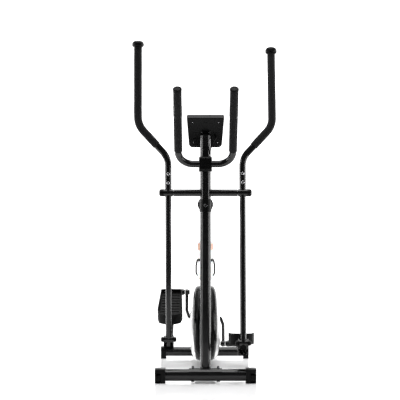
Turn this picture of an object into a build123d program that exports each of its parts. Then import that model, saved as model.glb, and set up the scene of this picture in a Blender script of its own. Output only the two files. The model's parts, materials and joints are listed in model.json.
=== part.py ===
from build123d import *
# Elliptical trainer with a magnetic brake. Every separate piece is written to its own STEP file.
# Millimetres. +Z up, +X to the machine's left as its user stands on it, +Y from the console end
# towards the flywheel end. The origin lies on the floor in the middle of the overall outline.
from math import acos, atan2, cos, degrees, hypot, pi, radians, sin, sqrt, tan
import os

# ---------------------------------------------------------------- driving dimensions
# layout, side view
POST_Y = -250.1            # axis of the vertical post
PIVOT_Z = 865.5            # axis of the swing arms' cross tube
STABILIZER_Z = 35.0        # axis height of both floor tubes
FRONT_OFFSET = 40.0        # the front floor tube lies this far ahead of the post
WHEELBASE = 828.0          # front to rear floor tube
CRANK_BACK = 590.0         # crank axis behind the post
CRANK_Z = 234.5
CRANK_RADIUS = 140.0
CRANK_REST = 26.0          # degrees of the right-hand crank behind upright, at rest
ARM_LENGTH = 686.0         # cross tube to lower hinge
BAR_LENGTH = 605.5         # lower hinge to crank pin
# layout, front view
ARM_X = 171.0              # centre planes of arms, pedal bars and pedals
HANDLE_X = 309.0           # centre plane of the upright hand grips
CRANK_X = 93.0             # centre plane of the crank arms
# clearances
FIT = 0.1                  # radial gap between pieces that sit in each other
RUN = 0.05                 # radial gap of a turning shaft in its bush
SIDE = 0.7                 # axial gap beside a turning piece
LOOP_GAP = 1.5             # axial gap at the crank eye
# tubes: outer radius and wall
POST_R, POST_WALL = 25.0, 2.0
FRONT_TUBE_R, REAR_TUBE_R, STAB_WALL = 27.0, 24.0, 2.0
CROSS_R, CROSS_WALL = 16.0, 2.5
ARM_R, ARM_WALL = 14.0, 1.8
HANDLE_WALL = 1.5
FIXED_R, FIXED_WALL = 16.0, 1.8
BAR_R, BAR_WALL = 19.0, 2.0
GRIP_WALL = 2.6
# base
FRONT_TUBE_HALF, FRONT_CAP_IN, FRONT_CAP_OUT = 200.0, 183.0, 230.0
REAR_TUBE_HALF, REAR_CAP_IN, REAR_CAP_OUT = 228.0, 204.0, 232.0
CAP_TOP, FRONT_CAP_DEPTH, REAR_CAP_TOP, REAR_CAP_DEPTH, CAP_ROUND = 66.0, 62.0, 62.0, 56.0, 11.0
WHEEL_R, WHEEL_WIDTH, WHEEL_AHEAD, WHEEL_Z, WHEEL_PIN_R = 19.0, 20.0, 14.0, 24.0, 3.0
SADDLE_WIDTH, SADDLE_PLATE, SADDLE_ARC, SADDLE_BOLT_X, BOLT_R = 150.0, 4.0, 100.0, 58.0, 4.0
BEAM_LOW, BEAM_HIGH, BEAM_WALL = 30.0, 65.0, 2.5
# post
POST_JOINT_Z, POST_TOP_Z, SPIGOT_LENGTH = 792.0, 1128.0, 100.0
COLLAR_WALL, COLLAR_LOW, COLLAR_HIGH = 3.0, 778.0, 836.0
POST_PLUG_DEEP, POST_PLUG_HIGH, SPIGOT_WALL = 12.0, 4.0, 2.5
# swing arms and handles
PIVOT_SLEEVE_WALL, PIVOT_SLEEVE_HALF, AXLE_R, BUSH_WALL, BUSH_FLANGE = 6.5, 21.0, 8.0, 2.5, 2.0
ARM_TOP_Z, HANDLE_LOW_Z = 988.0, 885.0
BEND_LOW_Z, BEND_HIGH_Z, BEND_RADIUS = 1027.0, 1177.0, 95.0
HANDLE_TOP_Z, HANDLE_LEAN = 1533.0, 42.0
GRIP_START = 76.0          # along the slanted run of the handle
KNOB_R, KNOB_HIGH = 27.0, 26.0
HANDLE_BOLT_Z = (912.0, 953.0)
PIVOT_CAP_OUT = 213.0
# lower hinge
HINGE_SLEEVE_WALL, HINGE_PIN_R, HINGE_BUSH_WALL, BUSH_LONG = 7.0, 6.0, 2.0, 15.0
ARM_TAIL = 30.0            # the arm's tube runs this far past the hinge
FORK_PLATE, FORK_ROUND, FORK_BACK, FORK_BITE = 4.8, 19.0, 85.0, 0.3
HINGE_CAP_R, HINGE_CAP_HIGH = 11.5, 13.0
BAR_DROP, BAR_START = 34.0, 36.0
REAR_SLEEVE_WALL, REAR_SLEEVE_OUT, CRANK_PIN_R = 8.5, 192.0, 7.5
CRANK_WASHER, CRANK_WASHER_R, CRANK_CAP_R, CRANK_CAP_HIGH = 6.0, 12.5, 13.0, 9.0
# pedals, measured along the line from hinge to crank pin
PEDAL_START, PEDAL_LENGTH, PEDAL_TOE, PEDAL_HEEL = 188.0, 358.0, 122.0, 106.0
PEDAL_FLOOR, PEDAL_RIM, PEDAL_TOE_HIGH, PEDAL_HEEL_HIGH = 9.0, 4.5, 52.0, 26.0
RIB_COUNT, RIB_WIDE, RIB_HIGH = 9, 5.0, 3.0
PEDAL_PLATE_HALF, PEDAL_PLATE_THICK, PEDAL_BOLT_X, PEDAL_BOLT_Y = 32.0, 4.0, 24.0, (90.0, 230.0)
# crank and drive
CRANK_ROD_R, CRANK_EYE_R, CRANK_EYE_HALF, CRANK_FLARE = 8.0, 15.0, 8.5, 38.0
CRANK_AXLE_X, CRANK_NUT = 80.0, 6.5
BEARING_DEEP, SHELL_IN, SHELL_OUT, SHELL_WALL = 13.0, -32.0, 14.0, 3.0
PULLEY_R, PULLEY_IN, PULLEY_OUT = 110.0, 18.0, 34.0
SMALL_PULLEY_R, BELT_THICK, BELT_GAP = 18.0, 3.0, 0.3
FLYWHEEL_AHEAD, FLYWHEEL_Z, FLYWHEEL_R = 160.0, 205.0, 105.0
FLYWHEEL_IN, FLYWHEEL_OUT, FLYWHEEL_AXLE_R = -34.0, -10.0, 6.0
MAGNET_GAP, MAGNET_THICK, MAGNET_FROM, MAGNET_TO = 4.0, 5.0, 100.0, 165.0
MAGNET_PIN_R, PLATE = 3.0, 3.0
# casing
CASE_Z, CASE_HALF_Y, CASE_HALF_Z, CASE_AHEAD = 212.5, 250.0, 187.5, 50.0
CASE_RIM, CASE_SIDE, CASE_INSET, CASE_SHARP, CASE_WALL = 28.0, 61.5, 100.0, 1.5, 3.0
DISC_Z, DISC_HALF_Y, DISC_HALF_Z = 176.0, 212.0, 148.0
DISC_RIM, DISC_SIDE, DISC_INSET = 40.0, 76.0, 104.0
DISH_STEPS, CASE_HOLE_R = 7, 22.0
# fixed handlebar
FIXED_Z, FIXED_X, FIXED_TOP_Z, FIXED_REACH, FIXED_BEND = 996.0, 123.5, 1306.0, 256.0, 68.0
CLAMP_SIDE, CLAMP_DROP, CLAMP_RISE, CLAMP_SKIN, CLAMP_BOLT_R = 2.0, 17.0, 18.0, 5.0, 3.0
PLUG_HIGH, PLUG_RIM, PLUG_RECESS = 9.0, 1.2, 1.6
SENSOR_SHELL, SENSOR_HALF, SENSOR_FROM_END = 2.6, 34.0, 110.0
# console
CONSOLE_TILT, CONSOLE_Z, CONSOLE_BACK_Y = 34.0, 1141.0, 2.0
CONSOLE_TOP, CONSOLE_BOTTOM, CONSOLE_TALL = 172.0, 151.0, 158.0
CONSOLE_DEEP, CONSOLE_LID, CONSOLE_TOP_ROUND, CONSOLE_LOW_ROUND, CONSOLE_SKIN = 24.0, 9.0, 6.0, 20.0, 2.5
SCREEN_WIDE, SCREEN_TALL, SCREEN_UP, BOARD_Z, BOARD_THICK = 104.0, 62.0, 22.0, 13.0, 1.6
BUTTON_R, BUTTON_DOWN, BUTTON_PROUD, BUTTON_TRAVEL = 9.0, 42.0, 3.0, 1.5
BRACKET_HALF, BRACKET_EDGE, BRACKET_PLATE, BRACKET_SCREW_R = 24.0, 8.0, 3.0, 3.6
# tension control
TENSION_Z, TENSION_R, TENSION_DEEP, TENSION_KNOB_R, TENSION_KNOB_DEEP = 812.0, 30.0, 16.0, 36.5, 22.0
CABLE_R, CABLE_HOLE_R = 2.5, 6.0
# bottle
BOTTLE_R, BOTTLE_LOW, BOTTLE_BODY, BOTTLE_SHOULDER, BOTTLE_NECK_R = 35.0, 466.0, 165.0, 18.0, 21.0
BOTTLE_CAP_HIGH, SPOUT_R, SPOUT_HIGH = 18.0, 8.0, 12.0
CAGE_SKIN, CAGE_GAP, CAGE_RING_Z, CAGE_RING_HIGH, CAGE_BACK = 3.0, 1.0, 548.0, 12.0, 12.0
CAGE_ARM_R, CAGE_BOW = 3.8, 4.0

# ---------------------------------------------------------------- what follows from them
FRONT_Y = POST_Y - FRONT_OFFSET
REAR_Y = FRONT_Y + WHEELBASE
CRANK_Y = POST_Y + CRANK_BACK
CASE_Y = CRANK_Y - CASE_AHEAD
FLYWHEEL_Y = CRANK_Y - FLYWHEEL_AHEAD
BOTTLE_Y = POST_Y + POST_R + CAGE_BACK + BOTTLE_R + CAGE_GAP
FORK_GAP = BAR_R - FORK_BITE         # half the gap between the fork's plates, which bite the bar
FORK_DROP = BAR_DROP + BAR_R         # hinge to the underside of the fork
HINGE_SLEEVE_HALF = FORK_GAP - SIDE
COLLAR_R = POST_R + COLLAR_WALL
BEAM_HALF_X = POST_R                 # the beam is as wide as the post that stands on it
HANDLE_R = ARM_R + FIT + HANDLE_WALL
PIVOT_SLEEVE_R = AXLE_R + BUSH_WALL + PIVOT_SLEEVE_WALL
HINGE_SLEEVE_R = HINGE_PIN_R + HINGE_BUSH_WALL + HINGE_SLEEVE_WALL
REAR_SLEEVE_R = CRANK_PIN_R + REAR_SLEEVE_WALL
SHELL_R = CRANK_ROD_R + BEARING_DEEP + SHELL_WALL
CLAMP_HALF_X = POST_R + CLAMP_SIDE
CLAMP_LOW = FIXED_Z - FIXED_R - CLAMP_DROP
CLAMP_HIGH = FIXED_Z + FIXED_R + CLAMP_RISE
AXIS_X, AXIS_Y = (1, 0, 0), (0, 1, 0)


def linkage(side):
    """Lower hinge and crank pin of one side at rest, as (y, z) pairs. side is -1 or +1 in X."""
    swing = radians(CRANK_REST)
    pin = (CRANK_Y - side * CRANK_RADIUS * sin(swing), CRANK_Z - side * CRANK_RADIUS * cos(swing))
    reach = (pin[0] - POST_Y, pin[1] - PIVOT_Z)
    span = hypot(*reach)
    turn = acos((ARM_LENGTH**2 + span**2 - BAR_LENGTH**2) / (2 * ARM_LENGTH * span))
    heading = atan2(reach[1], reach[0]) - turn
    hinge = (POST_Y + ARM_LENGTH * cos(heading), PIVOT_Z + ARM_LENGTH * sin(heading))
    return hinge, pin


def arm_angle(side):
    """Turn of one arm about +X from hanging straight down, in degrees."""
    hinge, _ = linkage(side)
    return degrees(atan2(hinge[0] - POST_Y, PIVOT_Z - hinge[1]))


def bar_angle(side):
    """Slope of the line from hinge to crank pin, rising towards +Y, in degrees."""
    hinge, pin = linkage(side)
    return degrees(atan2(pin[1] - hinge[1], pin[0] - hinge[0]))


# ---------------------------------------------------------------- helpers
def rod(x0, x1, y, z, radius):
    """Cylinder along X."""
    return Pos((x0 + x1) / 2, y, z) * Rot(0, 90, 0) * Cylinder(radius, abs(x1 - x0))


def pipe(x0, x1, y, z, outer, inner):
    """Tube along X."""
    return rod(x0, x1, y, z, outer) - rod(x0, x1, y, z, inner)


def upright(x, y, z0, z1, radius):
    """Cylinder along Z."""
    return Pos(x, y, (z0 + z1) / 2) * Cylinder(radius, z1 - z0)


def block(x0, x1, y0, y1, z0, z1):
    return Pos((x0 + x1) / 2, (y0 + y1) / 2, (z0 + z1) / 2) * Box(x1 - x0, y1 - y0, z1 - z0)


def along_y(x, y0, y1, z, radius):
    """Cylinder along Y."""
    return Pos(x, (y0 + y1) / 2, z) * Rot(90, 0, 0) * Cylinder(radius, abs(y1 - y0))


def swept(path, radius):
    """Round bar along a path."""
    return sweep(Plane(path @ 0, z_dir=path % 0) * Circle(radius), path=path)


def bent(points, radii):
    return FilletPolyline(*points, radius=radii)


def group(*shapes):
    """Separate solids that share one node."""
    return Compound(children=[solid for shape in shapes for solid in shape.solids()])


def both(make):
    """The piece on each side, as one group."""
    return group(make(-1), make(1))


def dome(radius, height):
    """Rounded cap standing on the XY plane: a short drum with a well rounded top edge."""
    drum = Pos(0, 0, height / 2) * Cylinder(radius, height)
    return fillet(drum.edges().group_by(Axis.Z)[-1], min(height, radius) * 0.6)


def facing(x, y, z, direction):
    """Location whose +Z points along direction."""
    return Location(Plane(origin=(x, y, z), z_dir=direction))


def side_span(side, near, far):
    """The X interval from |x| = near to far on one side, in rising order."""
    return sorted((side * near, side * far))


# ---------------------------------------------------------------- base
def front_stabilizer():
    tube = pipe(-FRONT_TUBE_HALF, FRONT_TUBE_HALF, FRONT_Y, STABILIZER_Z, FRONT_TUBE_R,
                FRONT_TUBE_R - STAB_WALL)
    return tube - bolt_holes(FRONT_Y)


def rear_stabilizer():
    tube = pipe(-REAR_TUBE_HALF, REAR_TUBE_HALF, REAR_Y, STABILIZER_Z, REAR_TUBE_R,
                REAR_TUBE_R - STAB_WALL)
    return tube - bolt_holes(REAR_Y)


def bolt_holes(y):
    return [upright(x, y, -5, CAP_TOP + 20, BOLT_R + FIT) for x in (-SADDLE_BOLT_X, SADDLE_BOLT_X)]


def cap_blank(side, near, far, y, depth, top):
    x0, x1 = side_span(side, near, far)
    blank = block(x0, x1, y - depth / 2, y + depth / 2, 0, top)
    return fillet(blank.edges().filter_by(Axis.X), CAP_ROUND)


def front_end_cap(side):
    """Socket for the floor tube, with an open pocket for the transport wheel beyond the tube's end."""
    cap = cap_blank(side, FRONT_CAP_IN, FRONT_CAP_OUT, FRONT_Y, FRONT_CAP_DEPTH, CAP_TOP)
    x0, x1 = side_span(side, FRONT_CAP_IN - 1, FRONT_TUBE_HALF)
    cap -= rod(x0, x1, FRONT_Y, STABILIZER_Z, FRONT_TUBE_R + FIT)
    w0, w1 = side_span(side, wheel_near() - SIDE, wheel_near() + WHEEL_WIDTH + SIDE)
    cap -= block(w0, w1, FRONT_Y - FRONT_CAP_DEPTH, FRONT_Y + 8, -1, WHEEL_Z + WHEEL_R + 3)
    a0, a1 = side_span(side, FRONT_TUBE_HALF, FRONT_CAP_OUT + 1)
    return cap - rod(a0, a1, FRONT_Y - WHEEL_AHEAD, WHEEL_Z, WHEEL_PIN_R + FIT)


def wheel_near():
    return FRONT_TUBE_HALF + 4.0


def transport_wheel(side):
    x0, x1 = side_span(side, wheel_near(), wheel_near() + WHEEL_WIDTH)
    wheel = pipe(x0, x1, FRONT_Y - WHEEL_AHEAD, WHEEL_Z, WHEEL_R, WHEEL_PIN_R + RUN)
    rims = wheel.edges().filter_by(GeomType.CIRCLE).sort_by(SortBy.RADIUS)[-2:]
    return fillet(rims, 2.5)


def wheel_pin(side):
    x0, x1 = side_span(side, FRONT_TUBE_HALF + FIT, FRONT_CAP_OUT - 2)
    return rod(x0, x1, FRONT_Y - WHEEL_AHEAD, WHEEL_Z, WHEEL_PIN_R)


def rear_end_cap(side):
    cap = cap_blank(side, REAR_CAP_IN, REAR_CAP_OUT, REAR_Y, REAR_CAP_DEPTH, REAR_CAP_TOP)
    x0, x1 = side_span(side, REAR_CAP_IN - 1, REAR_TUBE_HALF)
    return cap - rod(x0, x1, REAR_Y, STABILIZER_Z, REAR_TUBE_R + FIT)


def saddle(y, tube_r):
    """Curved plate over the top of a floor tube, open below."""
    inner = tube_r + FIT
    ring = pipe(-SADDLE_WIDTH / 2, SADDLE_WIDTH / 2, y, STABILIZER_Z, inner + SADDLE_PLATE, inner)
    low = STABILIZER_Z + (tube_r + SADDLE_PLATE) * cos(radians(SADDLE_ARC))
    ring &= block(-SADDLE_WIDTH, SADDLE_WIDTH, y - 2 * tube_r, y + 2 * tube_r, low, CAP_TOP + 30)
    return ring - bolt_holes(y)


def stabilizer_bolt(x, y, tube_r):
    """Carriage bolt from below with an acorn nut on the saddle."""
    top = STABILIZER_Z + tube_r + FIT + SADDLE_PLATE + 0.6
    shank = upright(x, y, STABILIZER_Z - tube_r - 0.5, top, BOLT_R)
    head = Pos(x, y, STABILIZER_Z - tube_r - 0.5) * Rot(180, 0, 0) * dome(2.2 * BOLT_R, 3.0)
    nut = extrude(RegularPolygon(1.7 * BOLT_R, 6), 5) + Pos(0, 0, 5) * dome(1.35 * BOLT_R, 5)
    return shank + head + Pos(x, y, top) * nut


def base_beam():
    """Rectangular tube with a welded saddle at each end and two cable holes."""
    beam = block(-BEAM_HALF_X, BEAM_HALF_X, FRONT_Y, REAR_Y, BEAM_LOW, BEAM_HIGH)
    beam = fillet(beam.edges().filter_by(Axis.Y), 4.0)
    inner_x = BEAM_HALF_X - BEAM_WALL
    beam -= block(-inner_x, inner_x, FRONT_Y, REAR_Y, BEAM_LOW + BEAM_WALL, BEAM_HIGH - BEAM_WALL)
    for y, tube_r in ((FRONT_Y, FRONT_TUBE_R), (REAR_Y, REAR_TUBE_R)):
        beam -= rod(-60, 60, y, STABILIZER_Z, tube_r + FIT)
        beam += saddle(y, tube_r)
    for y in (POST_Y, cable_rise_y()):
        beam -= upright(0, y, (BEAM_LOW + BEAM_HIGH) / 2, BEAM_HIGH + 5, CABLE_HOLE_R)
    return beam


def post_tube(z0, z1):
    return upright(0, POST_Y, z0, z1, POST_R) - upright(0, POST_Y, z0 - 1, z1 + 1, POST_R - POST_WALL)


def lower_post():
    return post_tube(BEAM_HIGH, POST_JOINT_Z) - cage_screw_holes()


def post_spigot():
    """Inner tube that joins the two halves of the post, with its weld inside the upper half."""
    outer = POST_R - POST_WALL - FIT
    z0, z1 = POST_JOINT_Z - SPIGOT_LENGTH / 2, POST_JOINT_Z + SPIGOT_LENGTH / 2
    weld = upright(0, POST_Y, POST_JOINT_Z + 28, POST_JOINT_Z + 38, POST_R - POST_WALL / 2)
    return upright(0, POST_Y, z0, z1, outer) + weld - upright(0, POST_Y, z0 - 1, z1 + 1, outer - SPIGOT_WALL)


def post_cross_hole():
    """Bolt hole through collar, post and spigot, from the front."""
    z = (COLLAR_LOW + COLLAR_HIGH) / 2
    return along_y(0, POST_Y - 60, POST_Y, z, BOLT_R + FIT)


def upper_post():
    """Upper half of the post with its spigot and the cross tube of the swing arms."""
    tube = post_tube(POST_JOINT_Z, POST_TOP_Z) - console_side() + post_spigot()
    half = ARM_X - PIVOT_SLEEVE_HALF - BUSH_FLANGE - SIDE
    tube += rod(-half, half, POST_Y, PIVOT_Z, CROSS_R)
    tube -= rod(-half - 1, half + 1, POST_Y, PIVOT_Z, CROSS_R - CROSS_WALL)
    for z in clamp_bolt_heights():
        tube -= along_y(0, POST_Y - 60, POST_Y, z, CLAMP_BOLT_R + FIT)
    return tube - post_cross_hole() - tension_hole()


def post_plug():
    """Plastic plug in the open front part of the post's top."""
    inner = POST_R - POST_WALL - FIT
    plug = upright(0, POST_Y, POST_TOP_Z - POST_PLUG_DEEP, POST_TOP_Z, inner)
    plug += upright(0, POST_Y, POST_TOP_Z, POST_TOP_Z + POST_PLUG_HIGH, POST_R)
    plug = fillet(plug.edges().group_by(Axis.Z)[-1], 3.0)
    return plug - console_side() - console_frame() * block(-60, 60, -60, 60, -BRACKET_PLATE - FIT, 0)


def post_collar():
    collar = upright(0, POST_Y, COLLAR_LOW, COLLAR_HIGH, COLLAR_R)
    collar = fillet(collar.edges().filter_by(GeomType.CIRCLE), 1.2)
    collar -= upright(0, POST_Y, COLLAR_LOW - 1, COLLAR_HIGH + 1, POST_R + FIT)
    return collar - post_cross_hole() - tension_hole()


def collar_bolt():
    z = (COLLAR_LOW + COLLAR_HIGH) / 2
    shank = along_y(0, POST_Y - COLLAR_R, POST_Y - POST_R + 12, z, BOLT_R)
    return shank + facing(0, POST_Y - COLLAR_R, z, (0, -1, 0)) * dome(1.9 * BOLT_R, 3.6)


def pivot_axle():
    """Solid axle through cross tube and arm bushes, with a washer and nut outside each arm."""
    end = ARM_X + PIVOT_SLEEVE_HALF + BUSH_FLANGE + SIDE
    axle = rod(-end - 9, end + 9, POST_Y, PIVOT_Z, AXLE_R)
    for side in (-1, 1):
        w0, w1 = side_span(side, end, end + 2)
        n0, n1 = side_span(side, end + 2, end + 8)
        axle += rod(w0, w1, POST_Y, PIVOT_Z, 1.5 * AXLE_R) + rod(n0, n1, POST_Y, PIVOT_Z, 1.3 * AXLE_R)
    for side in (-1, 1):
        r0, r1 = side_span(side, 40, 46)
        axle += rod(r0, r1, POST_Y, PIVOT_Z, CROSS_R - CROSS_WALL - FIT)
    return axle


# ---------------------------------------------------------------- swing arms
def arm_turn(side):
    """Carries an arm from hanging straight to its rest angle."""
    return Pos(0, POST_Y, PIVOT_Z) * Rot(arm_angle(side), 0, 0) * Pos(0, -POST_Y, -PIVOT_Z)


def swing_arm(side):
    x = side * ARM_X
    tail = PIVOT_Z - ARM_LENGTH - ARM_TAIL
    hinge_z = PIVOT_Z - ARM_LENGTH
    tube = upright(x, POST_Y, tail, ARM_TOP_Z, ARM_R)
    bore = upright(x, POST_Y, tail + 3, ARM_TOP_Z + 1, ARM_R - ARM_WALL)
    tube += rod(x - PIVOT_SLEEVE_HALF, x + PIVOT_SLEEVE_HALF, POST_Y, PIVOT_Z, PIVOT_SLEEVE_R)
    tube += rod(x - HINGE_SLEEVE_HALF, x + HINGE_SLEEVE_HALF, POST_Y, hinge_z, HINGE_SLEEVE_R)
    bore -= rod(x - 50, x + 50, POST_Y, PIVOT_Z, PIVOT_SLEEVE_R)
    bore -= rod(x - 50, x + 50, POST_Y, hinge_z, HINGE_SLEEVE_R)
    tube -= bore
    tube -= rod(x - 50, x + 50, POST_Y, PIVOT_Z, AXLE_R + BUSH_WALL + FIT)
    tube -= rod(x - 50, x + 50, POST_Y, hinge_z, HINGE_PIN_R + HINGE_BUSH_WALL + FIT)
    for z in HANDLE_BOLT_Z:
        tube -= along_y(x, POST_Y - 30, POST_Y, z, BOLT_R + FIT)
    return arm_turn(side) * tube


def flanged_bush(x, way, half, z, shaft, wall, flange):
    """Plastic bush in one end of a sleeve, with an optional flange outside it."""
    a0, a1 = sorted((x + way * (half - BUSH_LONG), x + way * half))
    bush = rod(a0, a1, POST_Y, z, shaft + wall)
    if flange:
        f0, f1 = sorted((x + way * half, x + way * (half + flange)))
        bush += rod(f0, f1, POST_Y, z, 1.5 * AXLE_R + 1)
    return bush - rod(x - 60, x + 60, POST_Y, z, shaft + RUN)


def arm_fittings(side):
    """Two bushes at the cross tube, two at the lower hinge, and the two bolts of the handle."""
    x, hinge_z = side * ARM_X, PIVOT_Z - ARM_LENGTH
    made = []
    for way in (-1, 1):
        made.append(flanged_bush(x, way, PIVOT_SLEEVE_HALF, PIVOT_Z, AXLE_R, BUSH_WALL, BUSH_FLANGE))
        made.append(flanged_bush(x, way, HINGE_SLEEVE_HALF, hinge_z, HINGE_PIN_R, HINGE_BUSH_WALL, 0.0))
    for z in HANDLE_BOLT_Z:
        shank = along_y(x, POST_Y - HANDLE_R, POST_Y - 4, z, BOLT_R)
        made.append(shank + facing(x, POST_Y - HANDLE_R, z, (0, -1, 0)) * dome(1.7 * BOLT_R, 3.5))
    return arm_turn(side) * group(*made)


def handle_points(side):
    return [
        (side * ARM_X, POST_Y, HANDLE_LOW_Z),
        (side * ARM_X, POST_Y, BEND_LOW_Z),
        (side * HANDLE_X, POST_Y, BEND_HIGH_Z),
        (side * HANDLE_X, POST_Y + HANDLE_LEAN, HANDLE_TOP_Z),
    ]


def handle_tube(side):
    """Bent tube that slips over the top of the swing arm."""
    path = bent(handle_points(side), [BEND_RADIUS, BEND_RADIUS])
    tube = swept(path, HANDLE_R) - swept(path, ARM_R + FIT)
    for z in HANDLE_BOLT_Z:
        tube -= along_y(side * ARM_X, POST_Y - 30, POST_Y, z, BOLT_R + FIT)
    return arm_turn(side) * tube


def grip_path(side):
    _, low, high, top = (Vector(p) for p in handle_points(side))
    start = low + (high - low).normalized() * GRIP_START
    return bent([start, high, top], [BEND_RADIUS])


def handle_grip(side):
    path = grip_path(side)
    return arm_turn(side) * (swept(path, HANDLE_R + FIT + GRIP_WALL) - swept(path, HANDLE_R + FIT))


def handle_knob(side):
    """Mushroom cap on the end of the handle, with a stem in the tube."""
    low, top = (Vector(p) for p in handle_points(side)[2:])
    way = (top - low).normalized()
    cap = dome(KNOB_R, KNOB_HIGH)
    cap = fillet(cap.edges().group_by(Axis.Z)[0], 5.0)
    cap += Pos(0, 0, -20) * Cylinder(ARM_R - 1, 40)
    return facing(top.X, top.Y, top.Z, tuple(way)) * cap


def pivot_cap(side):
    """Domed cover on the end of the arm's sleeve, over the axle's washer and nut."""
    near = ARM_X + PIVOT_SLEEVE_HALF
    deep = PIVOT_CAP_OUT - near
    cap = dome(PIVOT_SLEEVE_R, deep) - Pos(0, 0, deep / 2 - 4) * Cylinder(1.5 * AXLE_R + 1.2, deep)
    return facing(side * near, POST_Y, PIVOT_Z, (side, 0, 0)) * cap


def arm_caps(side):
    return arm_turn(side) * group(handle_knob(side), pivot_cap(side))


# ---------------------------------------------------------------- pedal bars
def bar_frame(side):
    """Frame with its origin at the lower hinge, +Y along the line to the crank pin."""
    hinge, _ = linkage(side)
    return Pos(side * ARM_X, hinge[0], hinge[1]) * Rot(bar_angle(side), 0, 0)


def bar_slope():
    """Slope of the bar's tube against the line from hinge to crank pin, in degrees."""
    return degrees(atan2(BAR_DROP, BAR_LENGTH - BAR_START))


def pedal_bar(side):
    """Round tube with a fork at the hinge, a cross sleeve at the crank pin and a pedal plate."""
    start, end = (0, BAR_START, -BAR_DROP), (0, BAR_LENGTH, 0)
    path = Line(start, end)
    bar = swept(path, BAR_R)
    bore = swept(path, BAR_R - BAR_WALL)
    inward = -side
    s0, s1 = sorted((inward * (ARM_X - sleeve_near()), -inward * (REAR_SLEEVE_OUT - ARM_X)))
    sleeve = rod(s0, s1, BAR_LENGTH, 0, REAR_SLEEVE_R)
    bar = bar - rod(-50, 50, BAR_LENGTH, 0, REAR_SLEEVE_R) + sleeve
    bar -= bore - rod(-50, 50, BAR_LENGTH, 0, REAR_SLEEVE_R)
    past_end = block(-50, 50, BAR_LENGTH + REAR_SLEEVE_R - 2, BAR_LENGTH + 60, -60, 60)
    bar -= past_end - sleeve
    for way in (-1, 1):
        bar += fork_plate(way)
    bar += block(-FORK_GAP - 1, FORK_GAP + 1, 0, BAR_START + 30, -FORK_DROP - 1, -FORK_DROP + 3)
    bar += pedal_plate()
    bar -= rod(-60, 60, 0, 0, HINGE_PIN_R + FIT)
    bar -= rod(s0 - 1, s1 + 1, BAR_LENGTH, 0, CRANK_PIN_R + FIT)
    for x, y in pedal_bolt_places():
        bar -= pedal_frame() * upright(x, y, -PEDAL_PLATE_THICK - 1, 1, BOLT_R + FIT)
    return bar_frame(side) * bar.solids().sort_by(SortBy.VOLUME)[-1]


def fork_plate(way):
    """Side plate of the fork: round over the hinge, square where it holds the tube."""
    x0, x1 = sorted((way * FORK_GAP, way * (FORK_GAP + FORK_PLATE)))
    head = rod(x0, x1, 0, 0, FORK_ROUND)
    drop = block(x0, x1, -FORK_ROUND, FORK_ROUND + 6, -FORK_DROP, 0)
    tail = block(x0, x1, 0, FORK_BACK, -FORK_DROP, -FORK_DROP + 2 * BAR_R - 6)
    return head + drop + tail


def sleeve_near():
    """|x| of the inner end of the crank pin's sleeve."""
    return CRANK_X + CRANK_EYE_HALF + LOOP_GAP + CRANK_WASHER


def pedal_frame():
    """Frame on top of the bar's tube, +Y along it, origin at the pedal's toe end."""
    slope = radians(bar_slope())
    rise = -BAR_DROP + (PEDAL_START - BAR_START) * tan(slope) + BAR_R / cos(slope)
    return Pos(0, PEDAL_START, rise) * Rot(bar_slope(), 0, 0)


def pedal_plate():
    """Flat mounting plate welded along the top of the tube."""
    y0, y1 = PEDAL_BOLT_Y[0] - 20, PEDAL_BOLT_Y[1] + 20
    return pedal_frame() * block(-PEDAL_PLATE_HALF, PEDAL_PLATE_HALF, y0, y1, -PEDAL_PLATE_THICK, 0)


def pedal_bolt_places():
    """The four bolts in the pedal's own axes."""
    return [(x, y) for x in (-PEDAL_BOLT_X, PEDAL_BOLT_X) for y in PEDAL_BOLT_Y]


def pedal_outline(inset=0.0):
    """Foot-shaped outline: rounded toe at y = 0, narrower heel at y = PEDAL_LENGTH."""
    toe, heel = PEDAL_TOE / 2 - inset, PEDAL_HEEL / 2 - inset
    front, back = inset, PEDAL_LENGTH - inset
    ball, tip, narrow = front + 60, front + 20, toe - 8
    edge = Polyline((-narrow, tip), (-toe, ball), (-heel, back), (heel, back), (toe, ball), (narrow, tip))
    nose = ThreePointArc((narrow, tip), (0, front), (-narrow, tip))
    return make_face(Wire([*edge.edges(), nose.edge()]))


def pedal(side):
    """Open tray with a high toe rim and ribs across its floor."""
    tray = extrude(pedal_outline(), PEDAL_TOE_HIGH)
    tray = fillet(tray.edges().filter_by(Axis.Z), 10.0)
    hollow = fillet(extrude(pedal_outline(PEDAL_RIM), PEDAL_TOE_HIGH).edges().filter_by(Axis.Z), 8.0)
    tray -= Pos(0, 0, PEDAL_FLOOR) * hollow
    fall = degrees(atan2(PEDAL_TOE_HIGH - PEDAL_HEEL_HIGH, PEDAL_LENGTH * 0.75))
    above = block(-PEDAL_TOE, PEDAL_TOE, 0, 2 * PEDAL_LENGTH, 0, 2 * PEDAL_TOE_HIGH)
    tray -= Pos(0, PEDAL_LENGTH * 0.25, PEDAL_TOE_HIGH) * Rot(-fall, 0, 0) * above
    pitch = (PEDAL_LENGTH - 110) / (RIB_COUNT - 1)
    for n in range(RIB_COUNT):
        y = 62 + n * pitch
        tray += block(-44, 44, y, y + RIB_WIDE, PEDAL_FLOOR - 1, PEDAL_FLOOR + RIB_HIGH)
    for x, y in pedal_bolt_places():
        tray -= upright(x, y, -1, PEDAL_FLOOR + 20, BOLT_R + FIT)
        tray -= upright(x, y, PEDAL_FLOOR - 3, PEDAL_FLOOR + 20, 2.2 * BOLT_R)
    return bar_frame(side) * pedal_frame() * tray


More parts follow.
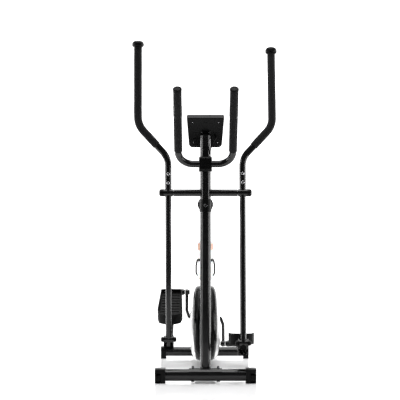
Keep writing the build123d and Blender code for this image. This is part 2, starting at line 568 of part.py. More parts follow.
def pedal_bolts():
    """Four bolts through the pedal's floor, with nuts under the plate, in the pedal's own axes."""
    made = []
    nut_high = 5.0
    for x, y in pedal_bolt_places():
        bolt = upright(x, y, -PEDAL_PLATE_THICK - nut_high - 2, PEDAL_FLOOR - 3, BOLT_R)
        bolt += Pos(x, y, PEDAL_FLOOR - 3) * dome(1.8 * BOLT_R, 3.4)
        nut = extrude(RegularPolygon(1.5 * BOLT_R, 6), nut_high)
        bolt += Pos(x, y, -PEDAL_PLATE_THICK - nut_high) * nut
        made.append(bolt)
    return made


def bar_fittings(side):
    """Hinge bolt with two round caps, crank bolt with its collar and cap, and the pedal's bolts."""
    half = FORK_GAP + FORK_PLATE
    hinge = rod(-half, half, 0, 0, HINGE_PIN_R)
    for way in (-1, 1):
        hinge += facing(way * half, 0, 0, (way, 0, 0)) * dome(HINGE_CAP_R, HINGE_CAP_HIGH)
    near = CRANK_X + CRANK_EYE_HALF + LOOP_GAP - ARM_X
    far = REAR_SLEEVE_OUT - ARM_X
    pin = rod(near, far, BAR_LENGTH, 0, CRANK_PIN_R)
    pin += rod(near, near + CRANK_WASHER, BAR_LENGTH, 0, CRANK_WASHER_R)
    pin += facing(far, BAR_LENGTH, 0, AXIS_X) * dome(CRANK_CAP_R, CRANK_CAP_HIGH)
    if side < 0:
        pin = pin.mirror(Plane.YZ)
    return bar_frame(side) * group(hinge, pin, pedal_frame() * group(*pedal_bolts()))


# ---------------------------------------------------------------- crank and drive
def crank_arms():
    """One-piece crank: axle and both arms bent from one bar, with an eye and cap at each end."""
    points = []
    for side in (1, -1):
        arm = [(side * CRANK_X, 0, -side * CRANK_RADIUS), (side * CRANK_X, 0, -side * CRANK_FLARE),
               (side * CRANK_AXLE_X, 0, 0)]
        points += arm if side > 0 else arm[::-1]
    crank = swept(bent(points, [24.0, 13.0, 13.0, 24.0]), CRANK_ROD_R)
    for side in (-1, 1):
        z = -side * CRANK_RADIUS
        e0, e1 = side_span(side, CRANK_X - CRANK_EYE_HALF, CRANK_X + CRANK_EYE_HALF)
        crank += rod(e0, e1, 0, z, CRANK_EYE_R)
        inner = CRANK_X - CRANK_EYE_HALF
        crank += facing(side * inner, 0, z, (-side, 0, 0)) * dome(12.0, CRANK_NUT)
        o0, o1 = side_span(side, CRANK_X, CRANK_X + CRANK_EYE_HALF + 1)
        crank -= rod(o0, o1, 0, z, CRANK_PIN_R + FIT)
    crank += rod(SHELL_IN - 4, SHELL_IN - SIDE, 0, 0, 13.0) + rod(SHELL_OUT + SIDE, PULLEY_IN, 0, 0, 13.0)
    return Pos(0, CRANK_Y, CRANK_Z) * Rot(-CRANK_REST, 0, 0) * crank


def drive_pulley():
    """Spoked pulley on the crank axle."""
    pulley = rod(PULLEY_IN, PULLEY_OUT, 0, 0, PULLEY_R)
    for x0, x1 in ((PULLEY_IN - 1, PULLEY_IN + 5), (PULLEY_OUT - 5, PULLEY_OUT + 1)):
        pulley -= pipe(x0, x1, 0, 0, PULLEY_R - 12, 26)
    for n in range(6):
        turn = Rot(60 * n, 0, 0)
        pulley -= turn * rod(PULLEY_IN - 1, PULLEY_OUT + 1, 0, (PULLEY_R + 14) / 2, 20)
    pulley -= rod(PULLEY_IN - 1, PULLEY_OUT + 1, 0, 0, CRANK_ROD_R + FIT)
    return Pos(0, CRANK_Y, CRANK_Z) * Rot(-CRANK_REST, 0, 0) * pulley


def crank_shell():
    return pipe(SHELL_IN, SHELL_OUT, CRANK_Y, CRANK_Z, SHELL_R, SHELL_R - SHELL_WALL)


def crank_bearings():
    """Cup and cone bearing in each end of the crank shell."""
    ring = SHELL_R - SHELL_WALL - FIT
    return group(*[
        pipe(x, x + 11, CRANK_Y, CRANK_Z, ring, CRANK_ROD_R + RUN) for x in (SHELL_IN, SHELL_OUT - 11)
    ])


def flywheel_plates():
    """Inner x of the two plates that hold the flywheel's axle."""
    return FLYWHEEL_IN - 2 - PLATE, PULLEY_OUT + 4


def drive_bracket():
    """Welded stand on the beam: base plate, crank shell on its strut, and two flywheel plates."""
    plate_top = BEAM_HIGH + 4
    near, far = flywheel_plates()
    base = block(near, far + PLATE, FLYWHEEL_Y - 22, CRANK_Y + 30, BEAM_HIGH, plate_top)
    base -= upright(0, cable_rise_y(), BEAM_HIGH - 1, plate_top + 1, CABLE_HOLE_R)
    strut = block(-26, 8, CRANK_Y - 14, CRANK_Y + 14, plate_top, CRANK_Z)
    stand = base + strut + rod(SHELL_IN, SHELL_OUT, CRANK_Y, CRANK_Z, SHELL_R)
    stand -= rod(SHELL_IN - 1, SHELL_OUT + 1, CRANK_Y, CRANK_Z, SHELL_R - SHELL_WALL)
    for x in (near, far):
        stand += block(x, x + PLATE, FLYWHEEL_Y - 22, FLYWHEEL_Y + 22, plate_top, FLYWHEEL_Z)
        stand += rod(x, x + PLATE, FLYWHEEL_Y, FLYWHEEL_Z, 22)
    y, z = magnet_hinge()
    stand += block(near, near + PLATE, FLYWHEEL_Y - 12, FLYWHEEL_Y + 12, FLYWHEEL_Z, z + 8)
    stand -= rod(near - 1, near + PLATE + 1, y, z, MAGNET_PIN_R + RUN)
    return stand - rod(near - 1, far + PLATE + 1, FLYWHEEL_Y, FLYWHEEL_Z, FLYWHEEL_AXLE_R + FIT)


def flywheel_axle():
    """Axle fixed in the two plates with a nut outside each; the flywheel turns on it."""
    near, far = flywheel_plates()
    axle = rod(near - 6, far + PLATE + 6, FLYWHEEL_Y, FLYWHEEL_Z, FLYWHEEL_AXLE_R)
    for x in (near - 5, far + PLATE):
        axle += rod(x, x + 5, FLYWHEEL_Y, FLYWHEEL_Z, 1.6 * FLYWHEEL_AXLE_R)
    return axle


def flywheel():
    """Heavy rim, thin web and hub."""
    y, z = FLYWHEEL_Y, FLYWHEEL_Z
    wheel = rod(FLYWHEEL_IN, FLYWHEEL_OUT, y, z, FLYWHEEL_R)
    for x0, x1 in ((FLYWHEEL_IN - 1, FLYWHEEL_IN + 8), (FLYWHEEL_OUT - 8, FLYWHEEL_OUT + 1)):
        wheel -= pipe(x0, x1, y, z, FLYWHEEL_R - 26, 20)
    return wheel - rod(FLYWHEEL_IN - 1, FLYWHEEL_OUT + 1, y, z, FLYWHEEL_AXLE_R + RUN)


def flywheel_pulley():
    """Small belt pulley with a long hub that reaches the flywheel."""
    y, z = FLYWHEEL_Y, FLYWHEEL_Z
    pulley = rod(PULLEY_IN, PULLEY_OUT, y, z, SMALL_PULLEY_R)
    pulley += rod(FLYWHEEL_OUT, PULLEY_IN, y, z, SMALL_PULLEY_R - 5)
    return pulley - rod(FLYWHEEL_OUT - 1, PULLEY_OUT + 1, y, z, FLYWHEEL_AXLE_R + RUN)


def belt_band(grow):
    """Outline of the belt loop, grown by grow, as a solid across the pulleys' width."""
    big, small = PULLEY_R + grow, SMALL_PULLEY_R + grow
    dy, dz = FLYWHEEL_Y - CRANK_Y, FLYWHEEL_Z - CRANK_Z
    span = hypot(dy, dz)
    line = atan2(dz, dy)
    open_angle = acos((big - small) / span)
    corners = []
    for sign in (1, -1):
        a = line + sign * open_angle
        corners.append(((CRANK_Y + big * cos(a), CRANK_Z + big * sin(a)),
                        (FLYWHEEL_Y + small * cos(a), FLYWHEEL_Z + small * sin(a))))
    (b0, s0), (b1, s1) = corners
    flat = Polygon(b0, s0, s1, b1, align=None)
    web = Plane(origin=(PULLEY_IN + 1, 0, 0), x_dir=AXIS_Y, z_dir=AXIS_X) * flat
    band = extrude(web, PULLEY_OUT - PULLEY_IN - 2, dir=AXIS_X)
    x0, x1 = PULLEY_IN + 1, PULLEY_OUT - 1
    return band + rod(x0, x1, CRANK_Y, CRANK_Z, big) + rod(x0, x1, FLYWHEEL_Y, FLYWHEEL_Z, small)


def drive_belt():
    return belt_band(BELT_GAP + BELT_THICK) - belt_band(BELT_GAP)


def magnet_hinge():
    """Hinge of the magnet carrier, above the flywheel, as (y, z)."""
    return FLYWHEEL_Y, FLYWHEEL_Z + FLYWHEEL_R + MAGNET_GAP + MAGNET_THICK + 6


def magnet_carrier():
    """Curved shoe around the flywheel's rim on a hinge pin, with an ear for the cable."""
    near = FLYWHEEL_R + MAGNET_GAP
    shoe = pipe(FLYWHEEL_IN, FLYWHEEL_OUT, 0, 0, near + MAGNET_THICK, near)
    corners = [(0, 0)]
    for angle in (MAGNET_FROM - 10, (MAGNET_FROM + MAGNET_TO) / 2, MAGNET_TO):
        corners.append((2 * near * cos(radians(angle)), 2 * near * sin(radians(angle))))
    across = Plane(origin=(FLYWHEEL_IN - 1, 0, 0), x_dir=AXIS_Y, z_dir=AXIS_X)
    wedge = across * Polygon(*corners, align=None)
    shoe &= extrude(wedge, FLYWHEEL_OUT - FLYWHEEL_IN + 2, dir=AXIS_X)
    shoe = Pos(0, FLYWHEEL_Y, FLYWHEEL_Z) * shoe
    y, z = magnet_hinge()
    lug = rod(FLYWHEEL_IN, FLYWHEEL_IN + 8, y, z, 9)
    lug += block(FLYWHEEL_IN, FLYWHEEL_IN + 8, y - 22, y, z - MAGNET_THICK - 4, z + 5)
    pin = rod(FLYWHEEL_IN - 7, FLYWHEEL_IN + 1, y, z, MAGNET_PIN_R)
    rise = sqrt((near + MAGNET_THICK)**2 - (cable_rise_y() - FLYWHEEL_Y)**2)
    top = FLYWHEEL_Z + rise
    y0, y1 = cable_rise_y() - 5, cable_rise_y() + 5
    ear = block(FLYWHEEL_OUT - 4, 2 * CABLE_R, y0, y1, top - MAGNET_THICK, top)
    return shoe + lug + pin + ear


def cable_rise_y():
    """Where the tension cable leaves the beam, inside the casing."""
    return FLYWHEEL_Y - 30


def cable_top_z():
    """End of the cable below the magnet carrier's ear."""
    return FLYWHEEL_Z + FLYWHEEL_R - 6


# ---------------------------------------------------------------- casing
def oval(x, y, z, half_y, half_z):
    """Ellipse across X at x."""
    return Plane(origin=(x, y, z), x_dir=AXIS_Y, z_dir=AXIS_X) * Ellipse(half_y, half_z)


def dished(side, centre, halves, rim, top, inset, sharp, base=0.0):
    """Filled dish from x = base out to |x| = top, whose oval shrinks by inset along a rounded profile.

    centre and halves are (y, z) pairs. sharp above 1 makes the rim's edge tighter.
    """
    sections = [oval(side * base, *centre, *halves)] if base < rim else []
    for step in range(DISH_STEPS):
        turn = 0.5 * pi * step / (DISH_STEPS - 1)
        shrink = inset * (1 - cos(turn)) ** sharp
        x = side * (rim + (top - rim) * sin(turn))
        sections.append(oval(x, *centre, halves[0] - shrink, halves[1] - shrink))
    return loft(sections if side > 0 else sections[::-1], ruled=True)


def case_solid(side, wall):
    """One half of the casing as a filled dish, thinner by wall."""
    halves = (CASE_HALF_Y - wall, CASE_HALF_Z - wall)
    return dished(side, (CASE_Y, CASE_Z), halves, CASE_RIM, CASE_SIDE - wall, CASE_INSET, CASE_SHARP)


def case_half(side):
    shell = case_solid(side, 0.0) - case_solid(side, CASE_WALL)
    y0, y1 = CASE_Y - 2 * CASE_HALF_Y, CASE_Y + 2 * CASE_HALF_Y
    shell -= block(-BEAM_HALF_X - FIT, BEAM_HALF_X + FIT, y0, y1, BEAM_LOW - FIT, BEAM_HIGH + FIT)
    shell -= saddle_room()
    shell -= rod(-80, 80, CRANK_Y, CRANK_Z, CASE_HOLE_R)
    return shell.solids().sort_by(SortBy.VOLUME)[-1]


def saddle_room():
    """Space that the casing leaves around the rear floor tube and its saddle."""
    return rod(-SADDLE_WIDTH, SADDLE_WIDTH, REAR_Y, STABILIZER_Z, REAR_TUBE_R + SADDLE_PLATE + 3)


def disc_solid(side, wall):
    """The side panel as a filled dome, thinner by wall."""
    halves, top, base = (DISC_HALF_Y - wall, DISC_HALF_Z - wall), DISC_SIDE - wall, DISC_RIM - 6
    return dished(side, (CASE_Y, DISC_Z), halves, DISC_RIM, top, DISC_INSET, 1.0, base)


def side_disc(side):
    """Domed side panel that sits on the casing's rounded side, with a hole for the crank."""
    panel = disc_solid(side, 0.0) - disc_solid(side, CASE_WALL) - case_solid(side, -FIT)
    panel -= rod(-90, 90, CRANK_Y, CRANK_Z, CASE_HOLE_R)
    return panel.solids().sort_by(SortBy.VOLUME)[-1]


def case_screw_places():
    """Screws around the rim, as (y, z)."""
    places = []
    for angle in (20, 65, 115, 160):
        a = radians(angle)
        places.append((CASE_Y + 0.93 * CASE_HALF_Y * cos(a), CASE_Z + 0.93 * CASE_HALF_Z * sin(a)))
    return places


def case_screws():
    """Screw heads on both sides of the rim."""
    made = []
    for y, z in case_screw_places():
        for side in (-1, 1):
            head = facing(side * (CASE_RIM + 14), y, z, (side, 0, 0)) * (Pos(0, 0, -8) * dome(4.0, 8.0))
            made.append(head - case_solid(side, 0.0))
    return made


# ---------------------------------------------------------------- fixed handlebar
def fixed_y():
    return POST_Y - POST_R - FIXED_R - FIT


def fixed_points():
    y = fixed_y()
    top = [(side * FIXED_X, y - FIXED_REACH, FIXED_TOP_Z) for side in (-1, 1)]
    low = [(side * FIXED_X, y, FIXED_Z) for side in (-1, 1)]
    return [top[0], low[0], low[1], top[1]]


def fixed_handlebar():
    path = bent(fixed_points(), [FIXED_BEND, FIXED_BEND])
    return swept(path, FIXED_R) - swept(path, FIXED_R - FIXED_WALL)


def fixed_way():
    """Unit vector up along the grips of the fixed handlebar."""
    top, low = (Vector(p) for p in fixed_points()[:2])
    return (top - low).normalized()


def fixed_at(side, from_end):
    """Point on a grip's axis, from_end short of the tube's end."""
    return Vector(side * FIXED_X, fixed_y() - FIXED_REACH, FIXED_TOP_Z) - fixed_way() * from_end


def grip_length():
    """Straight run of the fixed handlebar above its bend."""
    top, low = (Vector(p) for p in fixed_points()[:2])
    return (top - low).length - FIXED_BEND - 6


def fixed_piece(side, start, end, shape_of):
    """A ring along the grip's axis between two distances from the end."""
    base = fixed_at(side, end)
    at = Location(Plane(origin=tuple(base), z_dir=tuple(fixed_way())))
    return at * shape_of(end - start)


def ring_of(outer, inner):
    return lambda long: Pos(0, 0, long / 2) * (Cylinder(outer, long) - Cylinder(inner, long))


def sensor_ends():
    return SENSOR_FROM_END - SENSOR_HALF, SENSOR_FROM_END + SENSOR_HALF


def fixed_grips():
    """Foam sleeves above and below the pulse sensor on each side."""
    ring = ring_of(FIXED_R + FIT + GRIP_WALL, FIXED_R + FIT)
    near, far = sensor_ends()
    spans = ((0, near - FIT), (far + FIT, grip_length()))
    return group(*[fixed_piece(side, a, b, ring) for side in (-1, 1) for a, b in spans])


def pulse_sensors():
    """Hand pulse sensor around each grip, with two raised contact plates."""
    near, far = sensor_ends()
    outer = FIXED_R + FIT + SENSOR_SHELL
    made = []
    for side in (-1, 1):
        shell = fixed_piece(side, near, far, ring_of(outer, FIXED_R + FIT))
        for way in (-1, 1):
            plate = fixed_piece(side, near + 9, far - 9, ring_of(outer + 0.9, outer - 0.5))
            centre = fixed_at(side, SENSOR_FROM_END)
            window = Pos(centre.X + way * outer, centre.Y, centre.Z) * Box(outer, 90, 90)
            shell += plate & window
        made.append(shell)
    return group(*made)


def end_plugs():
    """Rounded end plug of each grip with a stem in the tube, and the plug of the post."""
    outer = FIXED_R + GRIP_WALL + PLUG_RIM
    plug = dome(outer, PLUG_HIGH) + Pos(0, 0, -9) * Cylinder(FIXED_R - FIXED_WALL - FIT, 18.2)
    plug -= upright(0, 0, PLUG_HIGH - PLUG_RECESS, PLUG_HIGH + 1, outer - 6)
    at = [Location(Plane(origin=tuple(fixed_at(side, 0)), z_dir=tuple(fixed_way()))) for side in (-1, 1)]
    return group(*[place * plug for place in at], post_plug())


def handlebar_clamp():
    """Two half clamps: one wraps the bar in front of the post, the other hugs the post behind."""
    y_bar = fixed_y()
    y_front = y_bar - FIXED_R - CLAMP_SKIN
    front = block(-CLAMP_HALF_X, CLAMP_HALF_X, y_front, POST_Y - 2, CLAMP_LOW, CLAMP_HIGH)
    rear = block(-CLAMP_HALF_X - 3, CLAMP_HALF_X + 3, POST_Y + 2, POST_Y + POST_R + CLAMP_SKIN,
                 CLAMP_LOW, CLAMP_HIGH)
    front = fillet(front.edges().filter_by(Axis.X).group_by(Axis.Y)[0], 14.0)
    rear = fillet(rear.edges().filter_by(Axis.Z).group_by(Axis.Y)[-1], 12.0)
    cuts = [upright(0, POST_Y, CLAMP_LOW - 1, CLAMP_HIGH + 1, POST_R + FIT)]
    cuts.append(rod(-2 * CLAMP_HALF_X, 2 * CLAMP_HALF_X, y_bar, FIXED_Z, FIXED_R + FIT))
    cuts += [along_y(0, POST_Y - 90, POST_Y, z, CLAMP_BOLT_R + FIT) for z in clamp_bolt_heights()]
    return group(front - cuts, rear - cuts)


def clamp_bolt_heights():
    """One bolt above the bar and one below it."""
    return [CLAMP_LOW + 8, CLAMP_HIGH - 8]


def clamp_bolts():
    """Countersunk bolts from the front of the clamp into the post."""
    front = fixed_y() - FIXED_R - CLAMP_SKIN
    return [along_y(0, front + 6, POST_Y - POST_R + 8, z, CLAMP_BOLT_R) for z in clamp_bolt_heights()]


# ---------------------------------------------------------------- console
def console_frame():
    """Frame on the console's back face: +X across, +Y up the panel, +Z out of the screen."""
    tilt = radians(CONSOLE_TILT)
    normal = (0, cos(tilt), sin(tilt))
    return Location(Plane(origin=(0, POST_Y + CONSOLE_BACK_Y, CONSOLE_Z), x_dir=(-1, 0, 0), z_dir=normal))


def console_side():
    """Everything on the console's side of its bracket, for cutting the post's top."""
    return console_frame() * Pos(0, 0, 150 - BRACKET_PLATE) * Box(400, 400, 300)


def console_outline(inset=0.0):
    top, bottom, tall = CONSOLE_TOP / 2 - inset, CONSOLE_BOTTOM / 2 - inset, CONSOLE_TALL / 2 - inset
    face = Polygon((-bottom, -tall), (bottom, -tall), (top, tall), (-top, tall), align=None)
    face = fillet(face.vertices().group_by(Axis.Y)[0], CONSOLE_LOW_ROUND - inset)
    return fillet(face.vertices().group_by(Axis.Y)[-1], CONSOLE_TOP_ROUND - inset)


def console_back():
    """Hollow rear shell with recessed screw pockets and a socket for the lead."""
    shell = extrude(console_outline(), CONSOLE_DEEP)
    shell = fillet(shell.edges().group_by(Axis.Z)[0], 3.0)
    shell -= Pos(0, 0, CONSOLE_SKIN) * extrude(console_outline(CONSOLE_SKIN), CONSOLE_DEEP)
    for x, y in console_screw_places():
        shell += upright_local(x, y, 1, CONSOLE_DEEP, 5.0)
        shell -= upright_local(x, y, -1, 4, 3.4)
    shell -= block(-9, 9, CONSOLE_TALL / 2 - 25, CONSOLE_TALL / 2 - 20, -1, 1.2)
    shell -= block(-62, 62, 2, 4, -1, 0.9)
    for n in range(5):
        shell -= block(32, 58, -64 + 8 * n, -61 + 8 * n, -1, CONSOLE_SKIN + 1)
    shell -= upright_local(*socket_place(), -1, CONSOLE_SKIN + 1, 4.5)
    return console_frame() * shell


def upright_local(x, y, z0, z1, radius):
    return Pos(x, y, (z0 + z1) / 2) * Cylinder(radius, z1 - z0)


def console_screw_places():
    x, y = CONSOLE_TOP / 2 - 26, CONSOLE_TALL / 2 - 26
    return [(-x, y), (x, y), (-x + 4, -y), (x - 4, -y)]


def socket_place():
    """Lead socket in the console's back, in the console's own axes."""
    return -46.0, -16.0


def console_lid():
    """Front frame of the console, with the screen's window and the button's hole."""
    lid = Pos(0, 0, CONSOLE_DEEP) * extrude(console_outline(), CONSOLE_LID)
    lid = fillet(lid.edges().group_by(Axis.Z)[-1], 4.0)
    lid -= screen_slab(0.0, CONSOLE_DEEP - 1, CONSOLE_DEEP + CONSOLE_LID + 1)
    lid -= upright_local(0, -BUTTON_DOWN, CONSOLE_DEEP - 1, CONSOLE_DEEP + CONSOLE_LID + 1, BUTTON_R + 0.4)
    return console_frame() * lid


def screen_slab(gap, z0, z1):
    """The screen's rectangle between two heights, smaller by gap all round."""
    half_x, half_y = SCREEN_WIDE / 2 - gap, SCREEN_TALL / 2 - gap
    return block(-half_x, half_x, SCREEN_UP - half_y, SCREEN_UP + half_y, z0, z1)


def console_screen():
    return console_frame() * screen_slab(FIT, CONSOLE_DEEP + 1, CONSOLE_DEEP + CONSOLE_LID - 2)


def mode_button():
    top = CONSOLE_DEEP + CONSOLE_LID + BUTTON_PROUD
    button = upright_local(0, -BUTTON_DOWN, CONSOLE_DEEP - 2, top, BUTTON_R)
    button = fillet(button.edges().group_by(Axis.Z)[-1], 2.0)
    button += upright_local(0, -BUTTON_DOWN, CONSOLE_DEEP - 3.5, CONSOLE_DEEP - SIDE, BUTTON_R + 3)
    return console_frame() * button


def console_board():
    """Circuit board between the bosses, with the switch that the button presses."""
    half_x, half_y = CONSOLE_BOTTOM / 2 - 31, CONSOLE_TALL / 2 - 14
    top = BOARD_Z + BOARD_THICK
    board = block(-half_x, half_x, -half_y, half_y, BOARD_Z, top)
    switch = block(-5, 5, -BUTTON_DOWN - 5, -BUTTON_DOWN + 5, top, CONSOLE_DEEP - 3.5 - BUTTON_TRAVEL - 0.5)
    return console_frame() * (board + switch)


def bracket_rows():
    """Heights of the bracket's two rows of screws, just behind and just above the post."""
    tilt = radians(CONSOLE_TILT)
    low = (POST_R - CONSOLE_BACK_Y) / sin(tilt) + BRACKET_PLATE / tan(tilt) + 3 * BRACKET_SCREW_R
    high = (POST_TOP_Z + POST_PLUG_HIGH - CONSOLE_Z) / cos(tilt) + 4 * BRACKET_SCREW_R
    return -low, high


def console_bracket():
    """Flat plate on the post's slanted top that the console is screwed to."""
    low, high = bracket_rows()
    y0, y1 = low - BRACKET_EDGE, high + BRACKET_EDGE
    plate = block(-BRACKET_HALF, BRACKET_HALF, y0, y1, -BRACKET_PLATE, 0)
    return console_frame() * fillet(plate.edges().filter_by(Axis.Z), BRACKET_EDGE)


def bracket_screws():
    x = BRACKET_HALF - BRACKET_EDGE
    head = Rot(180, 0, 0) * dome(BRACKET_SCREW_R, 2.4)
    places = [(x_side, y) for x_side in (-x, x) for y in bracket_rows()]
    return [console_frame() * Pos(*place, -BRACKET_PLATE) * head for place in places]


def sensor_lead():
    """Short lead from the post's rear to the socket in the console's back, held at both ends."""
    plug = (console_frame() * Pos(*socket_place(), 0.0)).position
    normal = Vector(0, cos(radians(CONSOLE_TILT)), sin(radians(CONSOLE_TILT)))
    away = plug - normal * 26
    low = Vector(POST_R - 1, POST_Y - POST_R - 1, away.Z - 44)
    start = Vector(POST_R - 5, POST_Y - 14, low.Z - 26)
    path = bent([start, low, away, plug], [14.0, 14.0])
    lead = swept(path, CABLE_R)
    lead -= upright(0, POST_Y, CLAMP_HIGH, POST_TOP_Z + 50, POST_R)
    collar = console_frame() * upright_local(*socket_place(), -9, 0, 5.0)
    return lead + collar


# ---------------------------------------------------------------- tension control
def tension_hole():
    return along_y(0, POST_Y, POST_Y + 60, TENSION_Z - 10, 2 * CABLE_R)


def tension_base_y():
    return POST_Y + COLLAR_R + TENSION_DEEP


def tension_housing():
    """Round housing on the back of the collar, with the spindle that the knob turns on."""
    drum = along_y(0, POST_Y + 8, tension_base_y(), TENSION_Z, TENSION_R)
    drum -= upright(0, POST_Y, TENSION_Z - 60, TENSION_Z + 60, COLLAR_R + FIT)
    spindle = along_y(0, tension_base_y() - 1, tension_base_y() + 15, TENSION_Z, 5.0)
    return drum + spindle - along_y(0, POST_Y, tension_base_y() - 6, TENSION_Z - 10, 2 * CABLE_R)


def tension_knob():
    """Ribbed knob with a pointer bar across its face."""
    y0 = tension_base_y() + SIDE
    knob = along_y(0, y0, y0 + TENSION_KNOB_DEEP, TENSION_Z, TENSION_KNOB_R)
    knob = fillet(knob.edges().group_by(Axis.Y)[-1], 3.5)
    for n in range(18):
        a = 2 * pi * n / 18
        reach = TENSION_KNOB_R + 1.6
        knob -= along_y(reach * cos(a), y0 - 1, y0 + TENSION_KNOB_DEEP + 1, TENSION_Z + reach * sin(a), 3.2)
    face, reach = y0 + TENSION_KNOB_DEEP, TENSION_KNOB_R - 10.5
    knob += block(-5, 5, face - 1, face + 5, TENSION_Z - reach, TENSION_Z + reach)
    return knob - along_y(0, y0 - 1, y0 + 14.4, TENSION_Z, 5.0 + RUN)


def tension_cable():
    """Bowden cable from the knob, down inside the post, along the beam and up to the magnets."""
    rise = cable_rise_y()
    mid = (BEAM_LOW + BEAM_HIGH) / 2
    points = [(0, tension_base_y() - 7, TENSION_Z - 10), (0, POST_Y, TENSION_Z - 10), (0, POST_Y, mid),
              (0, rise, mid), (0, rise, cable_top_z())]
    return swept(bent(points, [14.0, 12.0, 12.0]), CABLE_R)


# ---------------------------------------------------------------- bottle
def bottle():
    body = Pos(0, BOTTLE_Y, BOTTLE_LOW + BOTTLE_BODY / 2) * Cylinder(BOTTLE_R, BOTTLE_BODY)
    body = fillet(body.edges().group_by(Axis.Z)[0], 6.0)
    z = BOTTLE_LOW + BOTTLE_BODY
    waist = z - 34
    body -= Pos(0, BOTTLE_Y, waist) * Torus(BOTTLE_R + 3, 5)
    shoulder = Pos(0, BOTTLE_Y, z + BOTTLE_SHOULDER / 2) * Cone(BOTTLE_R, BOTTLE_NECK_R, BOTTLE_SHOULDER)
    return body + shoulder


def bottle_cap():
    z = BOTTLE_LOW + BOTTLE_BODY + BOTTLE_SHOULDER
    cap = Pos(0, BOTTLE_Y, z) * dome(BOTTLE_NECK_R + 3, BOTTLE_CAP_HIGH)
    spout = Pos(0, BOTTLE_Y, z + BOTTLE_CAP_HIGH - 2) * dome(SPOUT_R, SPOUT_HIGH)
    return cap + spout


def bottle_cage():
    """Back strip on the post, a floor tab, a high ring and two bowed side arms."""
    inner = BOTTLE_R + CAGE_GAP
    low = BOTTLE_LOW - CAGE_GAP - CAGE_SKIN
    y_strip = POST_Y + POST_R + 0.2
    strip = block(-9, 9, y_strip, BOTTLE_Y - inner + 1, low, CAGE_RING_Z + CAGE_RING_HIGH)
    ring = Pos(0, BOTTLE_Y, CAGE_RING_Z + CAGE_RING_HIGH / 2) * (
        Cylinder(inner + CAGE_SKIN, CAGE_RING_HIGH) - Cylinder(inner, CAGE_RING_HIGH))
    tab = Pos(0, BOTTLE_Y, low + CAGE_SKIN / 2) * Cylinder(inner - 8, CAGE_SKIN)
    tab += block(-14, 14, y_strip + 2, BOTTLE_Y, low, low + CAGE_SKIN)
    cage = strip + ring + tab
    for side in (-1, 1):
        cage += cage_arm(side, inner, low)
    cage -= Pos(0, BOTTLE_Y, low + CAGE_SKIN + 100) * Cylinder(inner, 200)
    cage -= block(-14, 14, BOTTLE_Y + inner - 12, BOTTLE_Y + inner + 10, CAGE_RING_Z - 1,
                  CAGE_RING_Z + CAGE_RING_HIGH + 1)
    return cage - cage_screw_holes()


def cage_arm(side, inner, low):
    """Bowed arm from the floor tab up to the ring."""
    reach = inner + CAGE_SKIN
    out, top = side * (reach + CAGE_BOW), CAGE_RING_Z + CAGE_RING_HIGH / 2
    places = [(side * (inner - 12), low + 2), (out, low + 30), (out, top - 26), (side * (reach - 1), top)]
    return swept(bent([(x, BOTTLE_Y, z) for x, z in places], [18.0, 18.0]), CAGE_ARM_R)


def cage_screw_places():
    return [BOTTLE_LOW + 26, CAGE_RING_Z - 20]


def cage_screw_holes():
    return [along_y(0, POST_Y, POST_Y + POST_R + CAGE_BACK + 4, z, 2.5 + FIT) for z in cage_screw_places()]


def cage_screws():
    y_face = BOTTLE_Y - BOTTLE_R - CAGE_GAP
    made = []
    for z in cage_screw_places():
        made.append(along_y(0, POST_Y + POST_R - 8, y_face - 0.5, z, 2.5))
    return made


# ---------------------------------------------------------------- what is written
def frame_bolts():
    """Stabilizer bolts, wheel pins, collar bolt and clamp bolts."""
    made = [stabilizer_bolt(x, FRONT_Y, FRONT_TUBE_R) for x in (-SADDLE_BOLT_X, SADDLE_BOLT_X)]
    made += [stabilizer_bolt(x, REAR_Y, REAR_TUBE_R) for x in (-SADDLE_BOLT_X, SADDLE_BOLT_X)]
    return group(*made, both(wheel_pin), collar_bolt(), *clamp_bolts())


def housing_screws():
    """Small screws of the casing, the console bracket and the bottle cage."""
    return group(*case_screws(), *bracket_screws(), *cage_screws())


def pieces():
    made = {
        "front_stabilizer": front_stabilizer(),
        "rear_stabilizer": rear_stabilizer(),
        "front_end_caps": both(front_end_cap),
        "rear_end_caps": both(rear_end_cap),
        "base_beam": base_beam(),
        "lower_post": lower_post(),
        "upper_post": upper_post(),
        "post_collar": post_collar(),
        "pivot_axle": pivot_axle(),
        "frame_bolts": frame_bolts(),
        "housing_screws": housing_screws(),
        "crank_arms": crank_arms(),
        "drive_pulley": drive_pulley(),
        "crank_bearings": crank_bearings(),
        "drive_bracket": drive_bracket(),
        "flywheel_axle": flywheel_axle(),
        "flywheel": flywheel(),
        "flywheel_pulley": flywheel_pulley(),
        "drive_belt": drive_belt(),
        "magnet_carrier": magnet_carrier(),
        "fixed_handlebar": fixed_handlebar(),
        "fixed_grips": fixed_grips(),
        "pulse_sensors": pulse_sensors(),
        "end_plugs": end_plugs(),
        "handlebar_clamp": handlebar_clamp(),
        "console_bracket": console_bracket(),
        "console_back": console_back(),
        "console_lid": console_lid(),
        "console_screen": console_screen(),
        "console_board": console_board(),
        "mode_button": mode_button(),
        "sensor_lead": sensor_lead(),
        "tension_housing": tension_housing(),
        "tension_knob": tension_knob(),
        "tension_cable": tension_cable(),
        "bottle": bottle(),
        "bottle_cap": bottle_cap(),
        "bottle_cage": bottle_cage(),
    }
    for side, name in ((-1, "right"), (1, "left")):
        made[f"transport_wheel_{name}"] = transport_wheel(side)
        made[f"casing_{name}"] = case_half(side)
        made[f"side_panel_{name}"] = side_disc(side)
        made[f"swing_arm_{name}"] = swing_arm(side)
        made[f"arm_fittings_{name}"] = arm_fittings(side)
        made[f"handle_{name}"] = handle_tube(side)
        made[f"handle_grip_{name}"] = handle_grip(side)
        made[f"arm_caps_{name}"] = arm_caps(side)
        made[f"pedal_bar_{name}"] = pedal_bar(side)
        made[f"pedal_{name}"] = pedal(side)
        made[f"bar_fittings_{name}"] = bar_fittings(side)
    return made


